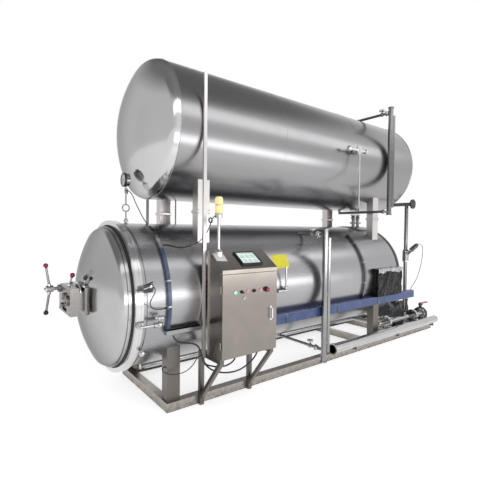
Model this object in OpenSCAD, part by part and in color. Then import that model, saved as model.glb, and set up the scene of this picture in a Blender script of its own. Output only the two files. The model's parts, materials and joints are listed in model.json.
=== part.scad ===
// Double-deck retort sterilizer: a horizontal pressure vessel with a quick-opening door,
// a hot-water tank above it, a control cabinet on the near side and a pump group behind.
// X runs along the vessels from the door to the rear, -Y is the cabinet side, Z is up.
// The origin lies on the floor, under the middle of the skid's front beam.

/* [Skid] */
// Overall length of the skid
skid_l = 4680; // [4500:10:5000]
// Overall width of the skid
skid_w = 1070; // [1000:10:1200]
// Height of the skid's channel beams
beam_h = 80; // [60:5:100]
// Flange width of the skid's channel beams
beam_w = 80; // [70:5:90]
// Wall of the skid's channel beams
beam_t = 6; // [4:1:8]

/* [Retort vessel] */
// Inside diameter of the pressure vessel
retort_id = 1200; // [1180:10:1220]
// Plate thickness of the pressure vessel
retort_plate = 8; // [6:1:10]
// Thickness of the insulated cladding round the vessel
jacket_t = 42; // [36:1:46]
// Height of the retort's axis above the floor
retort_z = 963; // [950:1:980]
// Length from the door seat to the rear end of the cladding
retort_l = 3790; // [3700:10:3900]
// Distance of the door seat in front of the skid's front beam
door_reach = 369; // [350:1:390]
// Radial height of the door ring over the pressure plate
ring_height = 64; // [56:1:70]
// Length of the door ring along the vessel
ring_l = 64; // [50:1:70]

/* [Door] */
// Radius of the door's rim
door_r = 622; // [616:1:630]
// Thickness of the door's rim
door_rim_t = 36; // [30:1:44]
// Crown radius of the dished door
door_crown = 1200; // [1150:10:1300]
// Knuckle radius of the dished door
door_knuckle = 70; // [60:5:80]
// Plate thickness of the dished door
door_plate = 10; // [8:1:12]
// Distance of the hinge pin from the vessel's axis
hinge_y = 745; // [740:1:760]
// Diameter of the door's hinge pin
hinge_pin_d = 36; // [30:1:40]
// Height of the door's swing arm
arm_h = 120; // [100:5:140]
// Thickness of the door's swing arm
arm_t = 28; // [24:1:32]

/* [Lock] */
// Width of the lock housing
lock_w = 400; // [360:10:420]
// Height of the lock housing
lock_h = 226; // [200:2:240]
// Depth of the lock housing
lock_d = 70; // [60:1:80]
// Length of each arm of the lock handle
handle_arm = 205; // [180:5:220]
// Diameter of the handle's shaft
handle_shaft_d = 30; // [26:1:34]
// Diameter of the ball knobs
knob_d = 46; // [40:1:50]

/* [Water tank] */
// Outside diameter of the hot-water tank
tank_od = 1290; // [1260:10:1300]
// Plate thickness of the hot-water tank
tank_plate = 5; // [4:1:8]
// Height of the tank's axis above the floor
tank_z = 2493; // [2470:1:2520]
// Length of the tank's shell between its heads
tank_l = 3684; // [3600:2:3750]
// Distance of the tank's front seam behind the skid's front beam
tank_x = 26; // [0:1:60]
// Crown radius of the tank's heads
tank_crown = 1200; // [1150:10:1300]
// Knuckle radius of the tank's heads
tank_knuckle = 100; // [80:5:120]

/* [Legs and columns] */
// Width of the legs and columns along the vessel
leg_w = 125; // [110:5:140]
// Depth of the legs and columns across the vessel
leg_d = 95; // [80:5:110]
// Plate thickness of the legs and columns
leg_t = 8; // [6:1:10]
// Distance of the legs' outer faces from the middle plane
leg_y = 503; // [490:1:520]
// Distance of the columns' outer faces from the middle plane
column_y = 440; // [420:1:460]
// Place of the front legs along the vessel
leg_front_x = 35; // [25:1:60]
// Distance of the rear legs in front of the cladding's rear end
leg_rear_set = 313; // [270:1:370]
// Place of the front columns along the vessel
column_front_x = 368; // [350:1:400]
// Place of the rear columns along the vessel
column_rear_x = 3146; // [3120:1:3180]
// Thickness of the columns' bolted flange plates
joint_t = 10; // [8:1:14]

/* [Cabinet] */
// Width of the control cabinet
cab_w = 600; // [560:10:640]
// Depth of the control cabinet
cab_d = 200; // [180:5:220]
// Height of the control cabinet at its back
cab_h = 895; // [860:5:920]
// Height of the control cabinet's upright front
cab_front_h = 710; // [690:5:730]
// Height of the cabinet's underside above the floor
cab_z = 490; // [470:5:510]
// Place of the cabinet's left side along the vessel
cab_x = 258; // [250:1:280]
// Distance of the cabinet's front from the middle plane
cab_front_y = 890; // [880:1:910]
// Sheet thickness of the cabinet
cab_sheet = 3; // [2:1:4]
// Height of the lip over the cabinet door
cab_lip = 32; // [24:1:40]

/* [Pipes] */
// Diameter of the level gauges' chambers
gauge_d = 60; // [50:1:66]
// Diameter of the level gauges' indicator tubes
indicator_d = 46; // [40:1:50]
// Diameter of the drain header under the retort
header_d = 60; // [50:1:66]
// Diameter of the drain pipe along the skid
drain_d = 114; // [100:2:120]
// Wall of the drain pipe
drain_wall = 4; // [3:1:6]
// Diameter of the riser behind the tank
riser_d = 54; // [48:1:60]

/* [Hidden] */
$fn = 64;
EPS = 1;
seat_gap = 0.3;
seat_clear = 5;
pin_gap = 0.3;

skid_front = -beam_w / 2;
skid_rear = skid_front + skid_l;
skid_side = skid_w / 2;

shell_r = retort_id / 2 + retort_plate;
jacket_r = shell_r + jacket_t;
seat_x = -door_reach;
ring_r = shell_r + ring_height;
ring_back = seat_x + ring_l;
neck_l = 40;
jacket_front = ring_back + neck_l;
jacket_end = seat_x + retort_l;
leg_rear_x = jacket_end - leg_rear_set;
neck_step = 8;
neck_r = jacket_r - neck_step;

head_crown = 1200;
head_knuckle = 122;
head_set = 40;
head_tangent = jacket_end - head_set;
cover_crown = 1300;
cover_knuckle = 110;
edge_w = 26;
edge_t = 3;

door_back = seat_x - seat_gap;
door_front = door_back - door_rim_t;
rim_step = 12;
door_dome_r = door_r - rim_step;
function dish_depth(r, crown, knuckle) =
    crown - sqrt(pow(crown - knuckle, 2) - pow(r - knuckle, 2));
door_apex = door_front - dish_depth(door_dome_r, door_crown, door_knuckle);
crown_x = door_apex + door_crown;
arm_gap = 10;
arm_r = door_crown + arm_gap;
hinge_x = crown_x - sqrt(pow(arm_r + arm_t / 2, 2) - pow(hinge_y, 2));
lug_t = 20;
lug_gap = 5.5;
arm_boss_r = 34;

lock_plate_t = 33;
lock_gap = 42;
lock_seat = 2;
lock_plate_x = door_apex - lock_seat;
lock_back = lock_plate_x - lock_gap;
lock_front = lock_back - lock_d;
handle_y = 150;
shaft_set = 36;
handle_z = retort_z + lock_h / 2 - shaft_set;
handle_reach = 84;
handle_hub_x = lock_front - handle_reach;
handle_rake = 30;
shaft_end = 2;

tank_r = tank_od / 2;
tank_rear = tank_x + tank_l;

cab_back_y = cab_front_y - cab_d;
cab_top = cab_z + cab_h;
cab_slope_z = cab_z + cab_front_h + cab_lip;
door_sheet = 2;
door_fold = 22;
cab_over = door_fold + 2;
slope_run = cab_d + cab_over;
slope_rise = cab_top - cab_slope_z;
slope_angle = atan2(slope_rise, slope_run);
slope_len = sqrt(pow(slope_run, 2) + pow(slope_rise, 2));

// Turns local Z onto the vessels' X direction.
module along_x(x, y, z) {
    translate([x, y, z]) rotate([0, 90, 0]) children();
}

// Turns local Z onto -Y, towards the cabinet side.
module along_near(x, y, z) {
    translate([x, y, z]) rotate([90, 0, 0]) children();
}

// Round bar or pipe along X.
module bar_x(x0, x1, y, z, d) {
    along_x(x0, y, z) cylinder(h = x1 - x0, d = d);
}

// Round bar or pipe along Y from y0 up to y1.
module bar_y(x, y0, y1, z, d) {
    along_near(x, y1, z) cylinder(h = y1 - y0, d = d);
}

// Upright round bar or pipe.
module bar_z(x, y, z0, z1, d) {
    translate([x, y, z0]) cylinder(h = z1 - z0, d = d);
}

// Block given by its two corners.
module block(a, b) {
    translate(a) cube(b - a);
}

// Space taken by the clad retort, which what stands against it is cut to.
module retort_cut() {
    along_x(jacket_front, 0, retort_z)
        cylinder(h = jacket_end - jacket_front, r = jacket_r, $fn = 180);
}

// Space taken by the tank's shell.
module tank_cut() {
    along_x(tank_x, 0, tank_z) cylinder(h = tank_l, r = tank_r, $fn = 180);
}

// Ring about the vessels' X direction between two radii.
module ring_x(x0, x1, z, r_in, r_out) {
    along_x(x0, 0, z) difference() {
        cylinder(h = x1 - x0, r = r_out, $fn = 180);
        translate([0, 0, -EPS]) cylinder(h = x1 - x0 + 2 * EPS, r = r_in, $fn = 180);
    }
}

// Outline of a dished end from its tangent line to its pole, as radius and height.
function dish(r, crown, knuckle) =
    let (turn = asin((r - knuckle) / (crown - knuckle)), depth = dish_depth(r, crown, knuckle))
    concat(
        [for (i = [0:6]) let (a = i / 6 * (90 - turn))
            [r - knuckle + knuckle * cos(a), knuckle * sin(a)]],
        [for (i = [1:10]) let (b = turn * (1 - i / 10))
            [crown * sin(b), depth - crown + crown * cos(b)]]
    );

function backwards(list) = [for (i = [len(list) - 1:-1:0]) list[i]];

// Dished end of even plate thickness, bulging along local Z.
module dished_end(r, crown, knuckle, plate) {
    rotate_extrude($fn = 180)
        polygon(concat(
            dish(r, crown, knuckle),
            backwards(dish(r - plate, crown - plate, knuckle - plate))));
}

// Channel beam of the skid along local X with mitred ends, its back on local y = 0.
module skid_channel(length) {
    intersection() {
        rotate([90, 0, 90]) linear_extrude(height = length) difference() {
            square([beam_w, beam_h]);
            translate([beam_t, beam_t]) square([beam_w, beam_h - 2 * beam_t]);
        }
        linear_extrude(height = beam_h)
            polygon([[0, 0], [length, 0], [length - beam_w, beam_w], [beam_w, beam_w]]);
    }
}

module skid_side_beams() color("dimgray") {
    translate([skid_front, -skid_side, 0]) skid_channel(skid_l);
    translate([skid_rear, skid_side, 0]) rotate([0, 0, 180]) skid_channel(skid_l);
}

module skid_end_beams() color("dimgray") {
    translate([skid_front, skid_side, 0]) rotate([0, 0, -90]) skid_channel(skid_w);
    translate([skid_rear, -skid_side, 0]) rotate([0, 0, 90]) skid_channel(skid_w);
}

cross_beam_set = 85;
pump_x = 3830;
pump_l = 590;
pump_beam_set = [30, 110];
pump_beam_x = [pump_x - pump_beam_set[0], pump_x + pump_l - pump_beam_set[1]];
cross_beam_x = concat([leg_rear_x - cross_beam_set], pump_beam_x);

// Channel beams between the side beams, their open sides to the rear.
module skid_cross_beams() color("dimgray")
    for (x = cross_beam_x) difference() {
        block([x - beam_w / 2, beam_w - skid_side, 0], [x + beam_w / 2, skid_side - beam_w, beam_h]);
        block([x - beam_w / 2 + beam_t, beam_w - skid_side - EPS, beam_t],
              [x + beam_w / 2 + EPS, skid_side - beam_w + EPS, beam_h - beam_t]);
    }

// Upright channel with its web outside, standing at local y = 0 and running to +Y.
module upright_channel(z0, z1) {
    translate([-leg_w / 2, 0, z0]) linear_extrude(height = z1 - z0) difference() {
        square([leg_w, leg_d]);
        translate([leg_t, leg_t]) square([leg_w - 2 * leg_t, leg_d]);
    }
}

// Runs its children at both sides of the middle plane, the far one mirrored.
module both_sides() {
    children();
    mirror([0, 1, 0]) children();
}

module vessel_legs() color("gray") difference() {
    for (x = [leg_front_x, leg_rear_x])
        both_sides() translate([x, -leg_y, 0]) upright_channel(beam_h, retort_z);
    retort_cut();
}

module retort_shell() color("silver")
    ring_x(seat_x + seat_gap, head_tangent, retort_z, retort_id / 2, shell_r);

module retort_rear_head() color("silver")
    along_x(head_tangent, 0, retort_z) dished_end(shell_r, head_crown, head_knuckle, retort_plate);

module jacket() color("lightgray") {
    ring_x(ring_back, jacket_front, retort_z, shell_r, neck_r);
    ring_x(jacket_front, head_tangent, retort_z, shell_r, jacket_r);
}

// Insulated rear end: the cladding's own dished outline filled down to the pressure head.
module jacket_rear_cover() color("lightgray")
    along_x(head_tangent, 0, retort_z) rotate_extrude($fn = 180)
        polygon(concat(
            [[jacket_r, 0]],
            [for (p = dish(jacket_r, cover_crown, cover_knuckle)) p + [0, jacket_end - head_tangent]],
            backwards(dish(shell_r, head_crown, head_knuckle))));

module rear_edge_band() color("black")
    ring_x(jacket_end - edge_w, jacket_end, retort_z, jacket_r, jacket_r + edge_t);

module door_ring() color("whitesmoke")
    ring_x(seat_x, ring_back, retort_z, shell_r, ring_r);

// Space taken by the door ring.
module ring_cut() {
    along_x(seat_x - ring_l, 0, retort_z) cylinder(h = 3 * ring_l, r = ring_r, $fn = 180);
}

lug_root = 60;
pin_head = 12;
lug_z = arm_h / 2 + lug_gap;

module door_hinge_lugs() color("gray") {
    for (low = [retort_z - lug_z - lug_t, retort_z + lug_z])
        difference() {
            union() {
                bar_z(hinge_x, hinge_y, low, low + lug_t, 2 * arm_boss_r);
                block([hinge_x - arm_boss_r, ring_r - lug_root, low],
                      [ring_back, hinge_y, low + lug_t]);
            }
            ring_cut();
            bar_z(hinge_x, hinge_y, low - EPS, low + lug_t + EPS, hinge_pin_d);
        }
    bar_z(hinge_x, hinge_y, retort_z - lug_z - lug_t - pin_head,
          retort_z + lug_z + lug_t + pin_head, hinge_pin_d);
}

rail_y = 260;
rail_w = 50;
rail_rise = 55;
rail_inset = 60;
rail_short = 150;
rail_z = retort_z - sqrt(pow(retort_id / 2, 2) - pow(rail_y - rail_w / 2, 2)) + rail_rise;

module basket_rails() color("silver") intersection() {
    both_sides() block([seat_x + rail_inset, -rail_y - rail_w / 2, retort_z - retort_id / 2],
                       [head_tangent - rail_short, -rail_y + rail_w / 2, rail_z]);
    along_x(seat_x, 0, retort_z) cylinder(h = retort_l, r = retort_id / 2, $fn = 180);
}

module door_head() color("whitesmoke")
    along_x(door_front, 0, retort_z) mirror([0, 0, 1])
        dished_end(door_dome_r, door_crown, door_knuckle, door_plate);

rim_width = 50;

module door_rim() color("silver")
    ring_x(door_front, door_back, retort_z, door_dome_r - rim_width, door_r);

// Swing arm bent round the dome, from the lock's base plate to the hinge pin.
module door_arm() color("gray") difference() {
    union() {
        translate([0, 0, retort_z - arm_h / 2]) linear_extrude(height = arm_h)
            intersection() {
                translate([crown_x, 0]) difference() {
                    circle(r = arm_r + arm_t, $fn = 180);
                    circle(r = arm_r, $fn = 180);
                }
                translate([door_apex - arm_gap - arm_t, lock_w / 2])
                    square([hinge_x + arm_boss_r - door_apex + arm_gap + arm_t, hinge_y - lock_w / 2]);
            }
        bar_z(hinge_x, hinge_y, retort_z - arm_h / 2, retort_z + arm_h / 2, 2 * arm_boss_r);
    }
    bar_z(hinge_x, hinge_y, retort_z - arm_h / 2 - EPS, retort_z + arm_h / 2 + EPS,
          hinge_pin_d + 2 * pin_gap);
}

lock_chamfer = 14;
lock_neck_d = 120;
lock_rib_y = 150;
lock_rib_t = 12;
lock_boss_t = 10;
lock_bosses = [[-112, 8, 88], [-20, 30, 66], [42, -52, 44]];
shaft_boss_d = 64;
shaft_boss_t = 22;
shaft_depth = 40;
slot_w = 150;
slot_z = 18;
slot_h = 30;
slot_d = 34;

// Lock case on a base plate that is fitted to the dome, with bearing caps and a slot below.
module lock_housing() color("darkgray") difference() {
    union() {
        translate([0, lock_w / 2, retort_z]) rotate([90, 0, 0]) linear_extrude(height = lock_w)
            polygon([[lock_front, -lock_h / 2], [lock_back, -lock_h / 2], [lock_back, lock_h / 2],
                     [lock_front + lock_chamfer, lock_h / 2],
                     [lock_front, lock_h / 2 - lock_chamfer]]);
        for (b = lock_bosses)
            bar_x(lock_front - lock_boss_t, lock_front + lock_boss_t, b[0], retort_z + b[1], b[2]);
        bar_x(lock_front - shaft_boss_t, lock_front + EPS, handle_y, handle_z, shaft_boss_d);
        bar_x(lock_back - EPS, crown_x, 0, retort_z, lock_neck_d);
        for (y = [-lock_rib_y, lock_rib_y])
            block([lock_back - EPS, y - lock_rib_t / 2, retort_z - lock_h / 3],
                  [lock_plate_x + EPS, y + lock_rib_t / 2, retort_z + lock_h / 3]);
        block([lock_plate_x, -lock_w / 2, retort_z - lock_h / 2],
              [lock_plate_x + lock_plate_t, lock_w / 2, retort_z + lock_h / 2]);
    }
    translate([crown_x, 0, retort_z]) sphere(r = door_crown, $fn = 180);
    bar_x(lock_front - shaft_boss_t - EPS, lock_front + shaft_depth, handle_y, handle_z,
          handle_shaft_d + 2 * pin_gap);
    block([lock_front - EPS, -slot_w / 2, retort_z - lock_h / 2 + slot_z],
          [lock_front + slot_d, slot_w / 2, retort_z - lock_h / 2 + slot_z + slot_h]);
}

lever_d = 16;
lever_l = 92;
plunger_d = 14;
plunger_l = 84;
plunger_knob = 34;
plunger_x = lock_plate_x + plunger_d / 2 + EPS;

module lock_levers() color("silver") {
    bar_z(lock_front + lock_d / 2, 0, retort_z + lock_h / 2, retort_z + lock_h / 2 + lever_l, lever_d);
    translate([lock_front + lock_d / 2, 0, retort_z + lock_h / 2 + lever_l]) sphere(d = knob_d);
    bar_z(plunger_x, -lock_rib_y, retort_z + lock_h / 2, retort_z + lock_h / 2 + plunger_l, plunger_d);
    translate([plunger_x, -lock_rib_y, retort_z + lock_h / 2 + plunger_l]) sphere(d = plunger_knob);
}

hub_d = 58;
hub_l = 52;
spoke_d = 20;
knob_seat = 4;
rake_angle = asin(handle_rake / handle_arm);

// Places a child along one of the handle's two arms, which lean forwards from the hub.
module on_handle_arm(turn) {
    translate([handle_hub_x, handle_y, handle_z]) rotate([turn, 0, 0]) rotate([0, -rake_angle, 0])
        children();
}

module door_handle() color("silver") {
    bar_x(handle_hub_x, lock_front + shaft_depth - shaft_end, handle_y, handle_z, handle_shaft_d);
    bar_x(handle_hub_x - hub_l / 2, handle_hub_x + hub_l / 2, handle_y, handle_z, hub_d);
    for (turn = [0, 180])
        on_handle_arm(turn) cylinder(h = handle_arm - knob_d / 2 + knob_seat, d = spoke_d);
}

module handle_knobs() color("firebrick")
    for (turn = [0, 180])
        on_handle_arm(turn) translate([0, 0, handle_arm]) difference() {
            sphere(d = knob_d);
            translate([0, 0, -knob_d / 2 - EPS]) cylinder(h = knob_seat + EPS, d = spoke_d);
        }

joint_z = (retort_z + tank_z) / 2;
joint_lap = 10;

// Column piece between two heights with its joint plate, to be cut to the vessel it meets.
module column(x, z0, z1, plate_z) {
    translate([x, -column_y, 0]) upright_channel(z0, z1);
    block([x - leg_w / 2 - joint_lap, -column_y - joint_lap, plate_z],
          [x + leg_w / 2 + joint_lap, -column_y + leg_d + joint_lap, plate_z + joint_t]);
}

module column_feet() color("gainsboro") difference() {
    for (x = [column_front_x, column_rear_x])
        both_sides() column(x, retort_z, joint_z, joint_z - joint_t);
    retort_cut();
}

module column_heads() color("gainsboro") difference() {
    for (x = [column_front_x, column_rear_x])
        both_sides() column(x, joint_z, tank_z, joint_z);
    tank_cut();
}

module tank_shell() color("silver")
    ring_x(tank_x, tank_rear, tank_z, tank_r - tank_plate, tank_r);

module tank_front_head() color("whitesmoke")
    along_x(tank_x, 0, tank_z) mirror([0, 0, 1])
        dished_end(tank_r, tank_crown, tank_knuckle, tank_plate);

module tank_rear_head() color("whitesmoke")
    along_x(tank_rear, 0, tank_z) dished_end(tank_r, tank_crown, tank_knuckle, tank_plate);

// Space taken by the tank's rear head.
module rear_head_cut() {
    along_x(tank_rear, 0, tank_z) rotate_extrude($fn = 180)
        polygon(concat([[0, 0]], dish(tank_r, tank_crown, tank_knuckle)));
}

// Side outline of the cabinet: depth from the back, height from the underside.
cab_outline = [
    [0, 0], [cab_d, 0], [cab_d, cab_front_h], [slope_run, cab_front_h],
    [slope_run, cab_front_h + cab_lip], [0, cab_h]
];
slope_sheet = cab_sheet / cos(slope_angle);
cab_inside = [
    [cab_sheet, cab_sheet], [cab_d - cab_sheet, cab_sheet],
    [cab_d - cab_sheet, cab_h - (cab_d - cab_sheet) * tan(slope_angle) - slope_sheet],
    [cab_sheet, cab_h - cab_sheet * tan(slope_angle) - slope_sheet]
];

// Extrudes a side outline across the cabinet.
module across_cabinet(x0, x1) {
    translate([x0, -cab_back_y, cab_z]) rotate([90, 0, 90]) linear_extrude(height = x1 - x0)
        mirror([1, 0]) children();
}

bracket_w = 40;
bracket_set = 25;
bracket_x = [cab_x + bracket_set, cab_x + cab_w - bracket_set];
bracket_short = 10;
bracket_reach = cab_front_y - bracket_short;
strut_low = 60;
strut_h = 50;

// Triangular brackets on the skid's outer face that carry the cabinet.
module cabinet_brackets() color("dimgray")
    for (x = bracket_x) {
        block([x - bracket_w / 2, -skid_side - bracket_w, 0],
              [x + bracket_w / 2, -skid_side, cab_z]);
        block([x - bracket_w / 2, -bracket_reach, cab_z - bracket_w],
              [x + bracket_w / 2, -skid_side - bracket_w, cab_z]);
        translate([x - bracket_w / 2, 0, 0]) rotate([90, 0, 90]) linear_extrude(height = bracket_w)
            polygon([[-skid_side - bracket_w, strut_low],
                     [-skid_side - bracket_w, strut_low + strut_h],
                     [-bracket_reach + bracket_w, cab_z - bracket_w],
                     [-bracket_reach, cab_z - bracket_w]]);
    }

hinge_barrel_d = 12;
hinge_leaf = 3;
hinge_h = 60;
hinge_low = 90;
panel_side = 2;
panel_gap = 6;
cab_door_y = -cab_front_y - seat_gap;
panel_y = cab_door_y - door_fold;
cab_hinge_x = cab_x - hinge_barrel_d / 2 - panel_side;
cab_hinge_y = cab_door_y - door_fold / 2;
panel_x = cab_x + panel_side;
panel_w = cab_w - 2 * panel_side;
panel_z = cab_z + panel_gap;
panel_h = cab_front_h - 2 * panel_gap;

// Hinge barrels on the cabinet's left side, with leaves on its side sheet.
module cabinet_hinges()
    for (z = [panel_z + hinge_low, panel_z + panel_h - hinge_low - hinge_h]) {
        bar_z(cab_hinge_x, cab_hinge_y, z, z + hinge_h, hinge_barrel_d);
        block([cab_x - hinge_leaf, cab_hinge_y, z], [cab_x + EPS, cab_hinge_y + hinge_h, z + hinge_h]);
        block([cab_hinge_x, cab_hinge_y - hinge_leaf, z],
              [cab_x - hinge_leaf + EPS, cab_hinge_y + hinge_leaf, z + hinge_h]);
    }

module cabinet_body() color("tan") {
    difference() {
        across_cabinet(cab_x, cab_x + cab_w) polygon(cab_outline);
        across_cabinet(cab_x + cab_sheet, cab_x + cab_w - cab_sheet) polygon(cab_inside);
        block([cab_x + door_fold, -cab_front_y - EPS, cab_z + door_fold],
              [cab_x + cab_w - door_fold, -cab_front_y + cab_sheet + EPS,
               cab_z + cab_front_h - door_fold]);
    }
    cabinet_hinges();
}

module cabinet_door() color("tan") difference() {
    block([panel_x, panel_y, panel_z], [panel_x + panel_w, cab_door_y, panel_z + panel_h]);
    block([panel_x + door_sheet, panel_y + door_sheet, panel_z + door_sheet],
          [panel_x + panel_w - door_sheet, cab_door_y + EPS, panel_z + panel_h - door_sheet]);
}

control_h = 552;
key_h = 496;
control_z = cab_z + control_h;
key_z = cab_z + key_h;
lamp_x = [130, 258, 402];
selector_x = [200, 330];
stop_x = 473;
key_x = 226;
bezel_d = 30;
bezel_t = 6;
lens_d = 24;
lens_taper = 4;
grip_l = 18;
grip_t = 8;
stop_ring_d = 50;
mushroom_d = 40;
mushroom_taper = 6;

// Switch bezel on the cabinet door, with its own top part as a child off the door.
module switch_on_door(dx, z, d) {
    along_near(cab_x + dx, panel_y, z) {
        cylinder(h = bezel_t, d = d);
        translate([0, 0, bezel_t]) children();
    }
}

module cabinet_controls() color("black") {
    for (dx = lamp_x)
        switch_on_door(dx, control_z, bezel_d)
            cylinder(h = grip_l / 2, d1 = lens_d, d2 = lens_d - lens_taper);
    for (dx = selector_x)
        switch_on_door(dx, control_z, bezel_d)
            translate([-grip_t / 2, -lens_d / 2, 0]) cube([grip_t, lens_d, grip_l]);
    switch_on_door(key_x, key_z, bezel_d) cylinder(h = grip_t, d = lens_d);
    switch_on_door(stop_x, control_z, stop_ring_d) {
        cylinder(h = grip_l, d = lens_d);
        translate([0, 0, grip_l])
            cylinder(h = grip_l - bezel_t, d1 = mushroom_d, d2 = mushroom_d - mushroom_taper);
    }
}

latch_set = 525;
latch_h = 334;
latch_x = cab_x + latch_set;
latch_z = cab_z + latch_h;
latch_plate = [24, 6, 128];
latch_grip = [16, 22, 90];

module cabinet_handle() color("silver") {
    translate([latch_x, panel_y - latch_plate[1] / 2, latch_z]) cube(latch_plate, center = true);
    translate([latch_x, panel_y - latch_plate[1] - latch_grip[1] / 2, latch_z])
        cube(latch_grip, center = true);
}

// Places a thing on the sloped top, with local Z off the slope and local Y up it.
module on_slope(x, along) {
    translate([cab_x + x, -cab_back_y - slope_run, cab_slope_z]) rotate([slope_angle, 0, 0])
        translate([0, along, 0]) children();
}

screen_w = 224;
screen_l = 178;
screen_t = 14;
screen_x = 345;
glass_w = 190;
glass_l = 142;
glass_set = 3;

module touch_screen() color("black")
    on_slope(screen_x, slope_len / 2) difference() {
        translate([-screen_w / 2, -screen_l / 2, 0]) cube([screen_w, screen_l, screen_t]);
        translate([-glass_w / 2, -glass_l / 2, screen_t - glass_set])
            cube([glass_w, glass_l, glass_set + EPS]);
    }

beacon_in = 84;
beacon_x = cab_x + beacon_in;
beacon_set = 38;
beacon_y = -cab_back_y - beacon_set;
beacon_foot_z = cab_top - beacon_set * tan(slope_angle);
beacon_foot_d = 76;
beacon_foot_h = 26;
pole_d = 26;
pole_cone_d = 34;
pole_h = 305;
lamp_base_d = 62;
lamp_base_h = 26;
lamp_d = 70;
lamp_h = 160;
pole_top = beacon_foot_z + pole_h;

module beacon_pole() color("whitesmoke") difference() {
    union() {
        bar_z(beacon_x, beacon_y, beacon_foot_z - beacon_set, pole_top, pole_d);
        bar_z(beacon_x, beacon_y, beacon_foot_z - beacon_set, beacon_foot_z + beacon_foot_h / 2,
              beacon_foot_d);
        translate([beacon_x, beacon_y, beacon_foot_z + beacon_foot_h / 2])
            cylinder(h = beacon_foot_h, d1 = beacon_foot_d, d2 = pole_cone_d);
        bar_z(beacon_x, beacon_y, pole_top, pole_top + lamp_base_h, lamp_base_d);
    }
    across_cabinet(cab_x, cab_x + cab_w) polygon(cab_outline);
}

module beacon_lamp() color("gold")
    translate([beacon_x, beacon_y, pole_top + lamp_base_h]) {
        cylinder(h = lamp_h - lamp_base_h, d = lamp_d);
        translate([0, 0, lamp_h - lamp_base_h])
            cylinder(h = lamp_base_h, d1 = lamp_d, d2 = lamp_d / 2);
    }

conduit_w = 30;
conduit_d = 20;
conduit_low = 465;
conduit_top = 2890;
conduit_set = 3;
conduit_x = cab_x - conduit_w / 2 - conduit_set;
conduit_y = -jacket_r - conduit_d / 2 - seat_gap;

module cable_conduit() color("whitesmoke")
    block([conduit_x - conduit_w / 2, conduit_y - conduit_d / 2, conduit_low],
          [conduit_x + conduit_w / 2, conduit_y + conduit_d / 2, conduit_top]);

// Distance of a round face about the retort's axis from the middle plane, at a height.
function near_y(r, z) = sqrt(pow(r, 2) - pow(z - retort_z, 2));

trunk_wall = 2;
trunk_z = 615;
trunk_h = 100;
trunk_d = 70;
trunk_end = 3795;
trunk_y = -near_y(jacket_r + edge_t, trunk_z + trunk_h) - seat_gap;
branch_z = 708;
branch_h = 32;
branch_d = 50;
branch_front = -110;
branch_end = conduit_x - conduit_w / 2 - seat_gap;
branch_y = -near_y(jacket_r, branch_z + branch_h) - seat_gap;

// Box trunk for cables with its back on local y = 0, open at its rear end.
module box_trunk(length, depth, height) {
    difference() {
        translate([0, -depth, 0]) cube([length, depth, height]);
        translate([trunk_wall, trunk_wall - depth, trunk_wall])
            cube([length, depth - 2 * trunk_wall, height - 2 * trunk_wall]);
    }
}

// Cable tray with its back on local y = 0, open at its top.
module cable_tray(length, depth, height) {
    difference() {
        translate([0, -depth, 0]) cube([length, depth, height]);
        translate([trunk_wall, trunk_wall - depth, trunk_wall])
            cube([length - 2 * trunk_wall, depth - 2 * trunk_wall, height]);
    }
}

module cable_trunks() color("steelblue") {
    translate([cab_x + cab_w - cab_d, trunk_y, trunk_z])
        box_trunk(trunk_end - cab_x - cab_w + cab_d, trunk_d, trunk_h);
    translate([branch_front, branch_y, branch_z])
        cable_tray(branch_end - branch_front, branch_d, branch_h);
}

hoop_w = 30;
hoop_t = 28;
hoop_x = [-85, 2595];
hoop_start = [22, 35];
hoop_turn = 98;
hoop_foot = [branch_z + branch_h, trunk_z + trunk_h];

// Ducts bent round the cladding from its top to the trunks, turning from the top to the near side.
module hoop_ducts() color("steelblue")
    for (i = [0, 1]) difference() {
        along_x(hoop_x[i] - hoop_w / 2, 0, retort_z) rotate([0, 0, 180 + hoop_start[i]])
            rotate_extrude(angle = hoop_turn, $fn = 180)
                translate([jacket_r, 0]) square([hoop_t, hoop_w]);
        block([hoop_x[i] - hoop_w, -2 * jacket_r, 0], [hoop_x[i] + hoop_w, 0, hoop_foot[i] + seat_gap]);
    }

indicator_gap = 4;
clip_h = 24;
clip_set = 200;
gauge_cap_d = 74;
gauge_cap_t = 14;
side_pipe_d = 34;
wheel_d = 64;
wheel_t = 10;
wheel_reach = 62;
wheel_stem = 12;
cock_d = 52;

// Stop valve on a side pipe along Y: a round body and a handwheel on an upright stem.
module stop_valve(x, y, z) {
    translate([x, y, z]) {
        sphere(d = cock_d);
        cylinder(h = wheel_reach, d = wheel_stem);
        translate([0, 0, wheel_reach - wheel_t]) cylinder(h = wheel_t, d = wheel_d);
    }
}

// Twin-tube level gauge between two heights: a chamber, an indicator tube and clips.
module level_gauge(x, y, z0, z1) {
    bar_z(x, y, z0, z1, gauge_d);
    for (z = [z0, z1 - gauge_cap_t])
        bar_z(x, y, z, z + gauge_cap_t, gauge_cap_d);
    tube = gauge_cap_d / 2 + indicator_gap + indicator_d / 2;
    bar_z(x + tube, y, z0 + clip_set / 2, z1 - clip_set / 2, indicator_d);
    for (z = [z0 + clip_set, (z0 + z1) / 2, z1 - clip_set - clip_h])
        block([x, y - clip_h / 2, z], [x + tube, y + clip_h / 2, z + clip_h]);
}

header_z = 245;
header_front = -60;
header_end = 3240;
branch_pipe_d = 42;
branch_pipe_x = [700, 1500, 2300];
retort_gauge_x = 1762;
retort_gauge_y = trunk_y - trunk_d - gauge_cap_d / 2 - seat_clear;
retort_gauge_low = 110;
retort_gauge_high = 1584;
retort_pipe_high = 1520;
retort_wheel_y = -520;

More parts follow.
